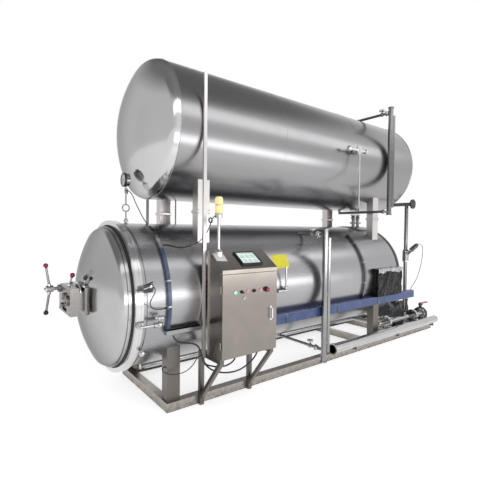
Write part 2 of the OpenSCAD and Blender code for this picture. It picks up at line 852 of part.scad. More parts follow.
module retort_level_gauge() color("silver") difference() {
    union() {
        level_gauge(retort_gauge_x, retort_gauge_y, retort_gauge_low, retort_gauge_high);
        bar_y(retort_gauge_x, retort_gauge_y, 0, header_z, side_pipe_d);
        bar_y(retort_gauge_x, retort_gauge_y, 0, retort_pipe_high, side_pipe_d);
        stop_valve(retort_gauge_x, retort_wheel_y, retort_pipe_high);
        stop_valve(retort_gauge_x, retort_wheel_y, header_z);
    }
    retort_cut();
    bar_x(header_front, header_end, 0, header_z, header_d);
}

tank_gauge_x = 3065;
tank_gauge_y = -tank_r - gauge_cap_d / 2 - seat_clear;
tank_gauge_low = 1775;
tank_gauge_high = 3177;
tank_pipe_high = 3110;
tank_pipe_run = 135;
tank_pipe_drop = 35;
tank_pipe_x = tank_gauge_x - tank_pipe_run;
tank_pipe_z = tank_z - tank_r - tank_pipe_drop;
tank_wheel_y = -560;

// Tank's level gauge with its lower pipe to the tank's underside and its upper one to the shell.
module tank_level_gauge() color("dimgray") difference() {
    union() {
        level_gauge(tank_gauge_x, tank_gauge_y, tank_gauge_low, tank_gauge_high);
        bar_y(tank_gauge_x, tank_gauge_y, 0, tank_pipe_high, side_pipe_d);
        stop_valve(tank_gauge_x, tank_wheel_y, tank_pipe_high);
        bar_x(tank_pipe_x, tank_gauge_x, tank_gauge_y, tank_pipe_z, side_pipe_d);
        translate([tank_pipe_x, tank_gauge_y, tank_pipe_z]) sphere(d = cock_d);
        bar_y(tank_pipe_x, tank_gauge_y, 0, tank_pipe_z, side_pipe_d);
        translate([tank_pipe_x, 0, tank_pipe_z]) sphere(d = side_pipe_d);
        bar_z(tank_pipe_x, 0, tank_pipe_z, tank_z, side_pipe_d);
    }
    tank_cut();
}

module bottom_header() color("silver") difference() {
    union() {
        bar_x(header_front, header_end, 0, header_z, header_d);
        for (x = branch_pipe_x)
            bar_z(x, 0, header_z, retort_z, branch_pipe_d);
    }
    retort_cut();
}

drain_y = -600;
drain_z = 165;
drain_front = 2060;
drain_l = 2554;
drain_collar_d = 136;
drain_collar_l = 18;
saddle_x = [2500, 3500, 4500];
saddle_w = 40;
saddle_t = 8;

// Drain pipe on saddles that stand on arms over the near beam, open at both ends.
module drain_pipe() color("silver") difference() {
    union() {
        bar_x(drain_front, drain_front + drain_l, drain_y, drain_z, drain_d);
        bar_x(drain_front, drain_front + drain_collar_l, drain_y, drain_z, drain_collar_d);
        for (x = saddle_x) {
            block([x - saddle_w / 2, drain_y - saddle_w, beam_h],
                  [x + saddle_w / 2, beam_w - skid_side, beam_h + saddle_t]);
            block([x - saddle_t / 2, drain_y - saddle_w, beam_h],
                  [x + saddle_t / 2, drain_y + saddle_w, drain_z]);
        }
    }
    bar_x(drain_front - EPS, drain_front + drain_l + EPS, drain_y, drain_z, drain_d - 2 * drain_wall);
}

pump_y = -220;
pump_z = 330;
casing_d = 260;
casing_l = 100;
lantern_d = 130;
lantern_l = 50;
motor_d = 180;
motor_l = 390;
fin_count = 24;
fin_h = 9;
fin_root = 3.4;
fin_tip = 1.8;
cowl_l = 70;
bed_t = 12;
bed_w = 280;
foot_w = 150;
terminal = [110, 90, 60];
motor_x = pump_x + casing_l / 2 + lantern_l;
terminal_x = motor_x + motor_l / 3;
terminal_z = pump_z + motor_d / 2 + fin_h;

function polar(r, a) = [r * cos(a), r * sin(a)];

// Outline of the finned motor: each fin tapers from its root to its tip.
fin_outline = [for (i = [0:fin_count - 1]) let (a = 360 / fin_count * (i + 0.5))
    each [polar(motor_d / 2, a - fin_root), polar(motor_d / 2 + fin_h, a - fin_tip),
          polar(motor_d / 2 + fin_h, a + fin_tip), polar(motor_d / 2, a + fin_root)]];

// Close-coupled pump on a bed plate: casing, lantern, finned motor, cowl and terminal box.
module pump() color("dimgray") {
    bar_x(pump_x - casing_l / 2, pump_x + casing_l / 2, pump_y, pump_z, casing_d);
    bar_x(pump_x, motor_x + cowl_l, pump_y, pump_z, lantern_d);
    along_x(motor_x, pump_y, pump_z) linear_extrude(height = motor_l - cowl_l) polygon(fin_outline);
    bar_x(motor_x + motor_l - cowl_l, motor_x + motor_l, pump_y, pump_z, motor_d + 3 * fin_h);
    translate([terminal_x, pump_y, terminal_z]) cube(terminal, center = true);
    block([pump_x - casing_l, pump_y - bed_w / 2, beam_h],
          [pump_x + pump_l - casing_l, pump_y + bed_w / 2, beam_h + bed_t]);
    block([pump_x - casing_l / 3, pump_y - foot_w / 2, beam_h],
          [pump_x + casing_l / 3, pump_y + foot_w / 2, pump_z]);
    block([motor_x + casing_l / 2, pump_y - foot_w / 2, beam_h],
          [motor_x + motor_l - casing_l, pump_y + foot_w / 2, pump_z]);
}

line_y = -440;
elbow_x = 3300;
flange_d = 190;
flange_t = 22;
line_flange_x = [3434, 4180];
valve_x = 4470;
valve_w = 56;
reducer_l = 150;
reducer_d = 110;
stub_l = 120;
valve_front = valve_x - valve_w / 2;
valve_rear = valve_x + valve_w / 2;
line_end = valve_rear + flange_t + stub_l;

// Flange pair on the line, starting at a place along it.
module flange_pair(x) {
    bar_x(x, x + 2 * flange_t, line_y, header_z, flange_d);
}

// Suction line: the header's elbows, the flanged run to the valve and a branch to the pump.
module pump_pipe() color("silver") difference() {
    union() {
        bar_x(header_end, elbow_x, 0, header_z, header_d);
        translate([elbow_x, 0, header_z]) sphere(d = header_d);
        bar_y(elbow_x, line_y, 0, header_z, header_d);
        translate([elbow_x, line_y, header_z]) sphere(d = header_d);
        bar_x(elbow_x, valve_front, line_y, header_z, header_d);
        for (x = line_flange_x)
            flange_pair(x);
        along_x(valve_front - flange_t - reducer_l, line_y, header_z)
            cylinder(h = reducer_l, d1 = header_d, d2 = reducer_d);
        bar_x(valve_front - flange_t, valve_front, line_y, header_z, flange_d);
        bar_x(valve_rear, valve_rear + flange_t, line_y, header_z, flange_d);
        bar_x(valve_rear, line_end, line_y, header_z, header_d);
        bar_y(pump_x, line_y, pump_y, header_z, header_d);
    }
    bar_x(pump_x - casing_l / 2 - EPS, pump_x + casing_l / 2 + EPS, pump_y, pump_z, casing_d);
    block([pump_x - casing_l, pump_y - foot_w / 2, 0], [pump_x + casing_l, 0, pump_z]);
}

lug_count = 8;
lug_d = 34;
valve_d = 176;
valve_neck_d = 46;
valve_pad_d = 72;
valve_pad_t = 14;
lever_rise = 150;
lever_low = header_z + lever_rise;

// Lugged butterfly valve with its neck and top pad.
module butterfly_valve() color("black") {
    bar_x(valve_front, valve_rear, line_y, header_z, valve_d);
    for (i = [0:lug_count - 1])
        along_x(valve_front + EPS, line_y, header_z) rotate([0, 0, 360 / lug_count * (i + 0.5)])
            translate([valve_d / 2, 0, 0]) cylinder(h = valve_w - 2 * EPS, d = lug_d);
    bar_z(valve_x, line_y, header_z + valve_d / 2 - valve_pad_t, lever_low - seat_gap, valve_neck_d);
    bar_z(valve_x, line_y, lever_low - seat_gap - valve_pad_t, lever_low - seat_gap, valve_pad_d);
}

lever_t = 18;
lever_cap = 4;
lever_arm = 205;
lever_root = 28;
lever_tip = 44;

module butterfly_lever() color("red")
    translate([valve_x, line_y, lever_low]) {
        cylinder(h = lever_t + lever_cap, d = valve_neck_d);
        linear_extrude(height = lever_t)
            polygon([[0, -lever_root / 2], [lever_arm, -lever_tip / 2],
                     [lever_arm, lever_tip / 2], [0, lever_root / 2]]);
    }

riser_x = 3972;
riser_z = 1970;
nozzle_y = -150;
riser_flange_y = -525;
riser_flange_t = 20;

// Riser from the suction line to the tank's rear head, with a branch to the near side.
module pump_riser() color("dimgray") difference() {
    union() {
        bar_z(riser_x, line_y, header_z, riser_z, riser_d);
        translate([riser_x, line_y, riser_z]) sphere(d = riser_d);
        bar_y(riser_x, riser_flange_y, nozzle_y, riser_z, riser_d);
        translate([riser_x, nozzle_y, riser_z]) sphere(d = riser_d);
        bar_x(tank_rear, riser_x, nozzle_y, riser_z, riser_d);
    }
    rear_head_cut();
    bar_x(elbow_x, line_end, line_y, header_z, header_d);
    bar_z(riser_x, line_y, riser_valve_z - riser_valve_h / 2, riser_valve_z + riser_valve_h / 2,
          riser_d + EPS);
}

bolt_circle = 100;
bolt_hole = 18;
bolt_count = 4;
riser_flange_d = 140;

module riser_flange() color("black") along_near(riser_x, riser_flange_y, riser_z) difference() {
    cylinder(h = riser_flange_t, d = riser_flange_d);
    for (i = [0:bolt_count - 1])
        rotate([0, 0, 360 / bolt_count * (i + 0.5)]) translate([bolt_circle / 2, 0, -EPS])
            cylinder(h = riser_flange_t + 2 * EPS, d = bolt_hole);
}

riser_valve_z = 1190;
riser_valve_h = 130;
riser_body_d = 88;
actuator_d = 64;
actuator_l = 235;
actuator_cap_d = 50;
actuator_cap_l = 18;

// Angle-seat valve: a round body on the riser and an actuator that leans to the near side.
module riser_valve() color("dimgray") {
    bar_z(riser_x, line_y, riser_valve_z - riser_valve_h / 2, riser_valve_z + riser_valve_h / 2,
          riser_body_d);
    translate([riser_x, line_y, riser_valve_z]) rotate([45, 0, 0]) {
        cylinder(h = actuator_l, d = actuator_cap_d);
        translate([0, 0, actuator_l / 2]) cylinder(h = actuator_l / 2, d = actuator_d);
        translate([0, 0, actuator_l]) cylinder(h = actuator_cap_l, d = actuator_cap_d);
    }
}

box_front = 2800;
box_rear = 3380;
box_top = 1080;
box_y = -722;

// Instrument box in its wrapping, held against the cladding above the trunk.
module wrapped_box() color("black") difference() {
    block([box_front, box_y, trunk_z + trunk_h + seat_gap], [box_rear, 0, box_top]);
    retort_cut();
}

gauge_x = -200;
nipple_d = 26;
nipple_h = 46;
siphon_d = 12;
siphon_r = 32;
siphon_z = 1755;
cock_z = 1915;
cock_h = 44;
dial_z = 2012;
dial_d = 120;
dial_t = 46;
dial_rim_d = 128;
dial_rim_t = 12;

// Pressure gauge on its nipple, coiled siphon and cock, with the dial towards the door.
module pressure_gauge() color("silver") difference() {
    union() {
        bar_z(gauge_x, 0, retort_z, retort_z + jacket_r + nipple_h, nipple_d);
        bar_z(gauge_x, 0, retort_z + jacket_r, siphon_z - siphon_r, siphon_d);
        along_near(gauge_x, 0, siphon_z) rotate_extrude()
            translate([siphon_r, 0]) circle(d = siphon_d);
        bar_z(gauge_x, 0, siphon_z + siphon_r, dial_z, siphon_d);
        bar_z(gauge_x, 0, cock_z - cock_h / 2, cock_z + cock_h / 2, nipple_d);
        bar_x(gauge_x - dial_t / 2, gauge_x + dial_t / 2, 0, dial_z, dial_d);
        bar_x(gauge_x - dial_t / 2, gauge_x - dial_t / 2 + dial_rim_t, 0, dial_z, dial_rim_d);
    }
    retort_cut();
}

probe_x = 2330;
probe_z = 2512;
probe_reach = 80;
probe_y = -tank_r - probe_reach;
probe_d = 30;
probe_body_d = 56;
probe_body_h = 90;
bulb_x = 2150;
bulb_d = 62;
probe_end = 2450;
probe_pipe_d = 20;
probe_pipe_low = 1834;

// Gauge group on the tank's near side: a nozzle, a cross pipe, a bulb, a valve body and a drop pipe.
module tank_gauge() color("silver") difference() {
    union() {
        bar_y(probe_x, probe_y, 0, probe_z, probe_d);
        bar_x(bulb_x, probe_end, probe_y, probe_z, probe_d);
        translate([bulb_x, probe_y, probe_z]) sphere(d = bulb_d);
        bar_z(probe_x, probe_y, probe_z - probe_body_h / 2, probe_z + probe_body_h / 2, probe_body_d);
        bar_x(probe_end, probe_end + probe_d, probe_y, probe_z, probe_body_d);
        bar_z(probe_x + probe_body_d / 4, probe_y, probe_pipe_low, probe_z, probe_pipe_d);
    }
    tank_cut();
}

switch_x = -330;
switch_l = 75;
switch_h = 58;
switch_d = 32;
switch_low = 1084;
switch_y = -690;
switch_arm = [24, 8];
neck_x = -345;
neck_pipe_d = 22;
neck_pipe_z = 820;
neck_pipe_y = -705;
neck_pipe_l = 185;
neck_valve_set = 155;
low_cock_x = -285;
low_cock_turn = 33;
low_cock_reach = 60;
pocket_x = 1195;
pocket_y = -690;
pocket_z = 955;
pocket_top = 1200;
pocket_d = 18;
pocket_body_d = 30;
pocket_body = [1080, 1210];

// Fittings on the retort: a limit switch and a stop valve on the door ring, a drain cock at the
// neck, and a thermometer pocket with an upright tube on the cladding.
module neck_fittings() color("dimgray") difference() {
    union() {
        block([switch_x, switch_y, switch_low],
              [switch_x + switch_arm[0], 0, switch_low + switch_arm[1]]);
        block([switch_x, switch_y - switch_d, switch_low],
              [switch_x + switch_l, switch_y, switch_low + switch_h]);
        bar_y(neck_x, neck_pipe_y, 0, neck_pipe_z, neck_pipe_d);
        translate([neck_x, neck_pipe_y, neck_pipe_z]) sphere(d = neck_pipe_d);
        bar_x(neck_x, neck_x + neck_pipe_l, neck_pipe_y, neck_pipe_z, neck_pipe_d);
        stop_valve(neck_x + neck_valve_set, neck_pipe_y, neck_pipe_z);
        translate([low_cock_x, 0, retort_z]) rotate([low_cock_turn, 0, 0]) {
            bar_y(0, -neck_r - low_cock_reach, 0, 0, neck_pipe_d);
            translate([0, -neck_r - low_cock_reach, 0]) sphere(d = cock_d);
        }
        bar_y(pocket_x, pocket_y, 0, pocket_z, neck_pipe_d);
        bar_x(pocket_body[0], pocket_body[1], pocket_y, pocket_z, pocket_body_d);
        bar_z(pocket_x, pocket_y, pocket_z, pocket_top, pocket_d);
    }
    retort_cut();
    along_x(ring_back - ring_l, 0, retort_z) cylinder(h = ring_l, r = ring_r, $fn = 180);
    along_x(ring_back - EPS, 0, retort_z) cylinder(h = neck_l + 2 * EPS, r = neck_r, $fn = 180);
}

vent_x = [3260, 3370];
vent_pad = [3040, 3390];
vent_pad_t = 14;
vent_pad_turn = 44;
vent_d = 46;
vent_h = 128;
vent_flange_d = 92;
vent_flange_t = 16;
vent_flange_h = 40;
link_y = 100;
link_pipes = [[54, 26], [361, 14]];

// Raised pad on the cladding's top with the vent and safety valves, and the link pipes to the tank.
module vent_valves() color("dimgray") {
    base = retort_z + jacket_r + vent_pad_t;
    along_x(vent_pad[0], 0, retort_z) rotate([0, 0, 180 - vent_pad_turn / 2])
        rotate_extrude(angle = vent_pad_turn, $fn = 180)
            translate([jacket_r, 0]) square([vent_pad_t, vent_pad[1] - vent_pad[0]]);
    for (x = vent_x) {
        bar_z(x, 0, base - vent_pad_t / 2, base + vent_h, vent_d);
        bar_z(x, 0, base + vent_flange_h, base + vent_flange_h + vent_flange_t, vent_flange_d);
        translate([x, 0, base + vent_h]) sphere(d = vent_d + vent_flange_t);
    }
    difference() {
        for (p = link_pipes)
            bar_z(p[0], link_y, retort_z, tank_z, p[1]);
        retort_cut();
        tank_cut();
    }
}

cord_sides = 8;

// Unit vector along a list of points at one of them.
function heading(p, i) =
    let (v = p[min(i + 1, len(p) - 1)] - p[max(i - 1, 0)]) v / norm(v);

// Ring of points square to a cord at one of its points.
function cord_ring(p, i, d, across) =
    let (t = heading(p, i), c = cross(t, across), n = c / norm(c), b = cross(t, n))
    [for (k = [0:cord_sides - 1]) let (a = 360 / cord_sides * k)
        p[i] + d / 2 * (cos(a) * n + sin(a) * b)];

// Limp cord through its points, with a direction that it never runs along.
module cord(p, d, across) {
    last = (len(p) - 1) * cord_sides;
    polyhedron(
        points = [for (i = [0:len(p) - 1]) each cord_ring(p, i, d, across)],
        faces = concat(
            [[for (k = [0:cord_sides - 1]) k]],
            [for (i = [0:len(p) - 2], k = [0:cord_sides - 1])
                let (a = i * cord_sides + k, b = i * cord_sides + (k + 1) % cord_sides)
                each [[a, a + cord_sides, b + cord_sides], [a, b + cord_sides, b]]],
            [[for (k = [cord_sides - 1:-1:0]) last + k]]));
}

thin_d = 8;
cable_d = 14;
hose_d = 30;

hoop_mid_r = jacket_r + hoop_t / 2;
hoop_head = [hoop_x[0], -hoop_mid_r * sin(hoop_start[0]), retort_z + hoop_mid_r * cos(hoop_start[0])];
lead_in = 18;
gauge_lead_path = [
    [gauge_x + nipple_d / 2, 0, cock_z], [-170, 0, 1912], [-146, -16, 1876], [-130, -50, 1808],
    [-112, -105, 1728], [-96, -168, 1650], [-87, -212, 1611],
    hoop_head + lead_in * [0, cos(hoop_start[0]), sin(hoop_start[0])], hoop_head
];

module gauge_lead() color("black")
    cord(gauge_lead_path, thin_d, [1, 0, 0.2]);

// Point of a thin lead that lies on the cladding, at a turn from its top to the near side.
function on_jacket(x, turn) = let (r = jacket_r + thin_d / 2 + seat_gap)
    [x, -r * sin(turn), retort_z + r * cos(turn)];

beacon_lead_path = [
    [beacon_x - lamp_base_d / 2, beacon_y, pole_top + lamp_base_h / 2],
    [294, beacon_y, pole_top + lamp_base_h / 2], [277, -724, 1656], [270, -706, 1604],
    [272, -650, 1540], [270, -562, 1474], [250, -485, 1433], on_jacket(205, 45.5),
    on_jacket(135, 47.5), on_jacket(65, 46.5), on_jacket(0, 44.5),
    on_jacket(hoop_x[0] + hoop_w / 2, 44.5)
];

module beacon_lead() color("black")
    cord(beacon_lead_path, thin_d, [0.2, 0.5, -0.9]);

hoop_low = [hoop_x[0] - hoop_w / 2, -near_y(hoop_mid_r, 929), 929];
switch_lead_path = [
    [switch_x + switch_l, switch_y - switch_d / 2, 1115], [-237, switch_y - switch_d / 2, 1115],
    [-232, -711, 1080], [-258, -716, 1038], [-275, -712, 995], [-248, -700, 953],
    [-185, -680, 932], hoop_low - [lead_in, 0, 0], hoop_low
];

module switch_lead() color("black")
    cord(switch_lead_path, thin_d, [0.1, 1, 0.1]);

leg_inner_y = -leg_y + leg_d / 2;
sensor_lead_path = [
    [leg_front_x - leg_w / 2, leg_inner_y, 370], [-48, leg_inner_y, 370], [-60, -490, 354],
    [-22, -536, 333], [45, -562, 328], [115, -592, 350], [160, -628, 408], [178, -654, 462],
    [193, conduit_y, 480], [conduit_x - conduit_w / 2, conduit_y, 480]
];

module sensor_lead() color("black")
    cord(sensor_lead_path, thin_d, [0.5, 0.86, 0]);

tray_foot = [-40, branch_y - branch_d / 2, branch_z];
long_cable_path = [
    tray_foot, tray_foot - [0, 0, lead_in], [-10, -654, 634], [60, -674, 620], [135, -684, 606],
    [182, -688, 566], [200, -690, 500], [222, -696, 425], [280, -714, 362], [360, -738, 325],
    [450, -752, 308], [560, -760, 311], [660, -764, 348], [742, -766, 408], [770, -766, 456],
    [770, -766, cab_z]
];

module long_cable() color("black")
    cord(long_cable_path, cable_d, [0.1, 1, 0]);

conduit_foot = [conduit_x, conduit_y, conduit_low];
short_cable_path = [
    conduit_foot, conduit_foot - [0, 0, lead_in], [244, -680, 410], [300, -706, 384],
    [375, -726, 368], [450, -740, 376], [505, -748, 408], [520, -750, 448], [520, -750, cab_z]
];

module short_cable() color("black")
    cord(short_cable_path, cable_d, [0.1, 1, 0]);

drop_foot = [probe_x + probe_body_d / 4, probe_y, probe_pipe_low];
pad_turn = 13;

// Point over the vent pad's face, square off it.
function over_pad(off) = let (r = jacket_r + vent_pad_t + off)
    [vent_pad[0] + pocket_body_d, -r * sin(pad_turn), retort_z + r * cos(pad_turn)];

tank_lead_path = [
    drop_foot, drop_foot - [0, 0, lead_in], [2420, -665, 1762], [2600, -518, 1722],
    [2800, -356, 1698], [2980, -220, 1680], over_pad(lead_in), over_pad(seat_gap)
];

module tank_lead() color("black")
    cord(tank_lead_path, thin_d, [0.6, -0.8, 0]);

terminal_face = [terminal_x, pump_y - terminal[1] / 2, terminal_z];
trunk_exit = [3660, trunk_y - trunk_d / 2, trunk_z];
pump_cable_path = [
    trunk_exit, trunk_exit - [0, 0, 55], [3664, -632, 480], [3684, -610, 416], [3740, -560, 386],
    [3850, -462, 388], [3970, -364, 408], [4046, -318, 427], terminal_face - [0, lead_in, 0],
    terminal_face
];

module pump_cable() color("black")
    cord(pump_cable_path, hose_d, [0.5, 0.4, 0.77]);

actuator_reach = (actuator_l + actuator_cap_l) * cos(45);
actuator_tip = [riser_x, line_y - actuator_reach, riser_valve_z + actuator_reach];
hose_foot = [3775, trunk_y - trunk_d / 2, trunk_z + trunk_h];
air_hose_path = [
    actuator_tip, actuator_tip + lead_in * [0, -0.7, 0.7], [3982, -680, 1360], [3984, -692, 1240],
    [3940, -680, 1010], [3850, -656, 820], hose_foot + [0, 0, lead_in], hose_foot
];

module air_hose() color("black")
    cord(air_hose_path, thin_d, [1, 0.2, 0]);

skid_side_beams();
skid_end_beams();
skid_cross_beams();
vessel_legs();
retort_shell();
retort_rear_head();
jacket();
jacket_rear_cover();
rear_edge_band();
door_ring();
door_hinge_lugs();
basket_rails();
door_head();
door_rim();
door_arm();
lock_housing();
lock_levers();
door_handle();
handle_knobs();
column_feet();
column_heads();
tank_shell();
tank_front_head();
tank_rear_head();
cabinet_body();
cabinet_brackets();
cabinet_door();
cabinet_controls();
cabinet_handle();
touch_screen();
beacon_pole();
beacon_lamp();
cable_conduit();
cable_trunks();
hoop_ducts();
retort_level_gauge();
tank_level_gauge();
bottom_header();
drain_pipe();
pump();
pump_pipe();
butterfly_valve();
butterfly_lever();
pump_riser();
riser_flange();
riser_valve();
wrapped_box();
pressure_gauge();
tank_gauge();
neck_fittings();
vent_valves();
gauge_lead();
beacon_lead();
switch_lead();
sensor_lead();
long_cable();
short_cable();
tank_lead();
pump_cable();
air_hose();
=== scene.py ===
# Double-deck retort sterilizer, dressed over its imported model: finishes, cords, fasteners and fittings.
import json
import math

import bmesh
import bpy
from mathutils import Matrix, Vector, noise

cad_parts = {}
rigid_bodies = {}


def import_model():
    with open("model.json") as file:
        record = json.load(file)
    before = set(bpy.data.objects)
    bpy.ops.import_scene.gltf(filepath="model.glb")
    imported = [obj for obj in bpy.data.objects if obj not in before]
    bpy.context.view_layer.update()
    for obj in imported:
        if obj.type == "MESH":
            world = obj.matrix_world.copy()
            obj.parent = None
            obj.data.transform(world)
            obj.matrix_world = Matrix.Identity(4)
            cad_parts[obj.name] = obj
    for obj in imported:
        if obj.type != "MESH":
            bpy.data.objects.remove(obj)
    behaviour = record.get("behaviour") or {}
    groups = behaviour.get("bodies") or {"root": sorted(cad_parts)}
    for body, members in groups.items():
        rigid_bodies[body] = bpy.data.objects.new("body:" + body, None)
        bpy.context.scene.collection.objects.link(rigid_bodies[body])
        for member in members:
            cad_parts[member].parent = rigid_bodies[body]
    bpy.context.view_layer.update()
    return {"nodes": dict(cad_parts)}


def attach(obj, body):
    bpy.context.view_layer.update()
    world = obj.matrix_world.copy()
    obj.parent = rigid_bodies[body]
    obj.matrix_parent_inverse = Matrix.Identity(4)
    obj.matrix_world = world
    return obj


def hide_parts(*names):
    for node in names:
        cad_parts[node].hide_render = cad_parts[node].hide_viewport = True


for thing in list(bpy.data.objects):
    bpy.data.objects.remove(thing)
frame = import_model()
scene = bpy.context.scene
nodes = frame["nodes"]

# Main places of the machine, in metres: X runs from the door to the rear, -Y is the near side.
RETORT_Z = 0.963
CLAD_R = 0.65
DOOR_FRONT = -0.4053
TANK_Z = 2.493
TANK_R = 0.645
TANK_FRONT = 0.026
TANK_REAR = 3.71
CAB_X = 0.258
PANEL_Y = -0.9123
SLOPE = math.atan2(0.153, 0.224)
SLOPE_FOOT = Vector((CAB_X, -0.914, 1.232))
BEACON_X, BEACON_Y, BEACON_Z = 0.342, -0.728, 1.69004
FRONT, REAR, NEAR, UP, DOWN = (-1, 0, 0), (1, 0, 0), (0, -1, 0), (0, 0, 1), (0, 0, -1)

# The photograph's camera, fitted to the picture.
CAMERA_SPOT = (-1.4277, -3.3363, 1.57)
CAMERA_YAW, CAMERA_PITCH, CAMERA_ROLL = (math.radians(a) for a in (37.482, -1.701, 0.571))
CAMERA_LENS = 27.53


def set_camera(spot, yaw, pitch, roll, lens):
    lens_data = bpy.data.cameras.new("photo_camera")
    lens_data.sensor_fit = "HORIZONTAL"
    lens_data.sensor_width = 36.0
    lens_data.lens = lens
    lens_data.clip_end = 200.0
    camera = bpy.data.objects.new("photo_camera", lens_data)
    scene.collection.objects.link(camera)
    camera.matrix_world = (Matrix.Translation(spot) @ Matrix.Rotation(-yaw, 4, "Z")
                           @ Matrix.Rotation(math.pi / 2 + pitch, 4, "X") @ Matrix.Rotation(roll, 4, "Z"))
    scene.camera = camera


set_camera(CAMERA_SPOT, CAMERA_YAW, CAMERA_PITCH, CAMERA_ROLL, CAMERA_LENS)


# Shader node helpers.
def feed(tree, socket, value):
    """Set a socket, or link it where the value is another node's socket."""
    if isinstance(value, bpy.types.NodeSocket):
        tree.links.new(value, socket)
    else:
        socket.default_value = value


def shader_node(tree, kind, inputs, **settings):
    made = tree.nodes.new(kind)
    for key, value in settings.items():
        setattr(made, key, value)
    for key, value in inputs.items():
        feed(tree, made.inputs[key], value)
    return made


def math_node(tree, operation, first, second):
    return shader_node(tree, "ShaderNodeMath", {0: first, 1: second}, operation=operation).outputs[0]


def weigh(tree, first, second, share):
    """Sum of two values: the first by its share, the second by the rest."""
    return math_node(tree, "ADD", math_node(tree, "MULTIPLY", first, share),
                     math_node(tree, "MULTIPLY", second, 1.0 - share))


# Places of the colour sockets on a mix node, which has a set for every data type.
MIX_FACTOR, MIX_FIRST, MIX_SECOND, MIX_RESULT = 0, 6, 7, 2


def mix_colour(tree, factor, first, second):
    inputs = {MIX_FACTOR: factor, MIX_FIRST: first, MIX_SECOND: second}
    return shader_node(tree, "ShaderNodeMix", inputs, data_type="RGBA").outputs[MIX_RESULT]


def spread(tree, value, low, high, from_low=0.0, from_high=1.0):
    inputs = {0: value, 1: from_low, 2: from_high, 3: low, 4: high}
    return shader_node(tree, "ShaderNodeMapRange", inputs).outputs[0]


def cloudy(tree, vector, scale, detail, rough=0.5, bend=0.0):
    return shader_node(tree, "ShaderNodeTexNoise", {
        "Vector": vector, "Scale": scale, "Detail": detail, "Roughness": rough, "Distortion": bend})


def new_group(name, setting, value, *outputs):
    """Group with a vector and one setting: its tree, both inputs' sockets and its result's sockets."""
    tree = bpy.data.node_groups.new(name, "ShaderNodeTree")
    tree.interface.new_socket(name="Vector", in_out="INPUT", socket_type="NodeSocketVector")
    socket = tree.interface.new_socket(name=setting, in_out="INPUT", socket_type="NodeSocketFloat")
    socket.default_value = value
    for label in outputs:
        tree.interface.new_socket(name=label, in_out="OUTPUT", socket_type="NodeSocketFloat")
    given = tree.nodes.new("NodeGroupInput").outputs
    return tree, given[0], given[1], tree.nodes.new("NodeGroupOutput").inputs


def make_brushed_grain():
    """Fine drawn lines of brushed sheet, from coordinates stretched along the brushing."""
    tree, where, fineness, result = new_group("brushed_grain", "Fineness", 1.0, "Grain")
    fine = cloudy(tree, where, fineness, 4.0, 0.7)
    broad = cloudy(tree, where, math_node(tree, "MULTIPLY", fineness, 0.21), 2.0)
    both = weigh(tree, fine.outputs[0], broad.outputs[0], 0.6)
    feed(tree, result[0], spread(tree, both, 0.0, 1.0, 0.3, 0.7))
    return tree


def make_handling_marks():
    """Broad cloudy smears left by handling and wiping."""
    tree, where, size, result = new_group("handling_marks", "Size", 2.0, "Marks")
    smear = cloudy(tree, where, size, 5.0, 0.58, 0.7)
    feed(tree, result[0], spread(tree, smear.outputs[0], 0.0, 1.0, 0.36, 0.68))
    return tree


def make_floor_grime():
    """Dust that thins out from the floor up to a height."""
    tree, where, height, result = new_group("floor_grime", "Height", 0.3, "Grime")
    split = shader_node(tree, "ShaderNodeSeparateXYZ", {0: where})
    low = math_node(tree, "SUBTRACT", 1.0, math_node(tree, "DIVIDE", split.outputs[2], height))
    speck = cloudy(tree, where, 26.0, 6.0, 0.7)
    mixed = math_node(tree, "MULTIPLY", spread(tree, low, 0.0, 1.0),
                      spread(tree, speck.outputs[0], 0.2, 1.0, 0.35, 0.65))
    feed(tree, result[0], spread(tree, mixed, 0.0, 1.0))
    return tree


def make_film_creases():
    """Sharp irregular creases of thin plastic film."""
    tree, where, size, result = new_group("film_creases", "Size", 14.0, "Height", "Ridges")
    bend = cloudy(tree, where, 5.0, 3.0)
    eased = shader_node(tree, "ShaderNodeVectorMath", {0: bend.outputs[1], "Scale": 0.16}, operation="SCALE")
    pushed = shader_node(tree, "ShaderNodeVectorMath", {0: where, 1: eased.outputs[0]},
                         operation="ADD").outputs[0]
    cell = shader_node(tree, "ShaderNodeTexVoronoi", {"Vector": pushed, "Scale": size},
                       feature="DISTANCE_TO_EDGE")
    ridge = spread(tree, cell.outputs[0], 1.0, 0.0, 0.0, 0.12)
    fold = cloudy(tree, pushed, size, 6.0, 0.62)
    feed(tree, result[0], math_node(tree, "ADD", math_node(tree, "MULTIPLY", ridge, 0.45), fold.outputs[0]))
    feed(tree, result[1], ridge)
    return tree


def make_cast_pits():
    """Pebbled skin of castings, enamel and moulded plastic."""
    tree, where, size, result = new_group("cast_pits", "Size", 400.0, "Pits")
    pit = cloudy(tree, where, size, 3.0, 0.6)
    feed(tree, result[0], spread(tree, pit.outputs[0], 0.0, 1.0, 0.3, 0.7))
    return tree


GRAIN = make_brushed_grain()
MARKS = make_handling_marks()
GRIME = make_floor_grime()
CREASES = make_film_creases()
PITS = make_cast_pits()
GRIME_COLOUR = (0.14, 0.12, 0.1)


def use_group(tree, group, vector, **values):
    made = tree.nodes.new("ShaderNodeGroup")
    made.node_tree = group
    for key, value in {"Vector": vector, **values}.items():
        feed(tree, made.inputs[key], value)
    return made


def start_material(name, constants):
    material = bpy.data.materials.new(name)
    material.use_nodes = True
    tree = material.node_tree
    shader = tree.nodes["Principled BSDF"]
    for key, value in constants.items():
        shader.inputs[key].default_value = value
    where = shader_node(tree, "ShaderNodeTexCoord", {}).outputs["Object"]
    return material, tree, shader, where


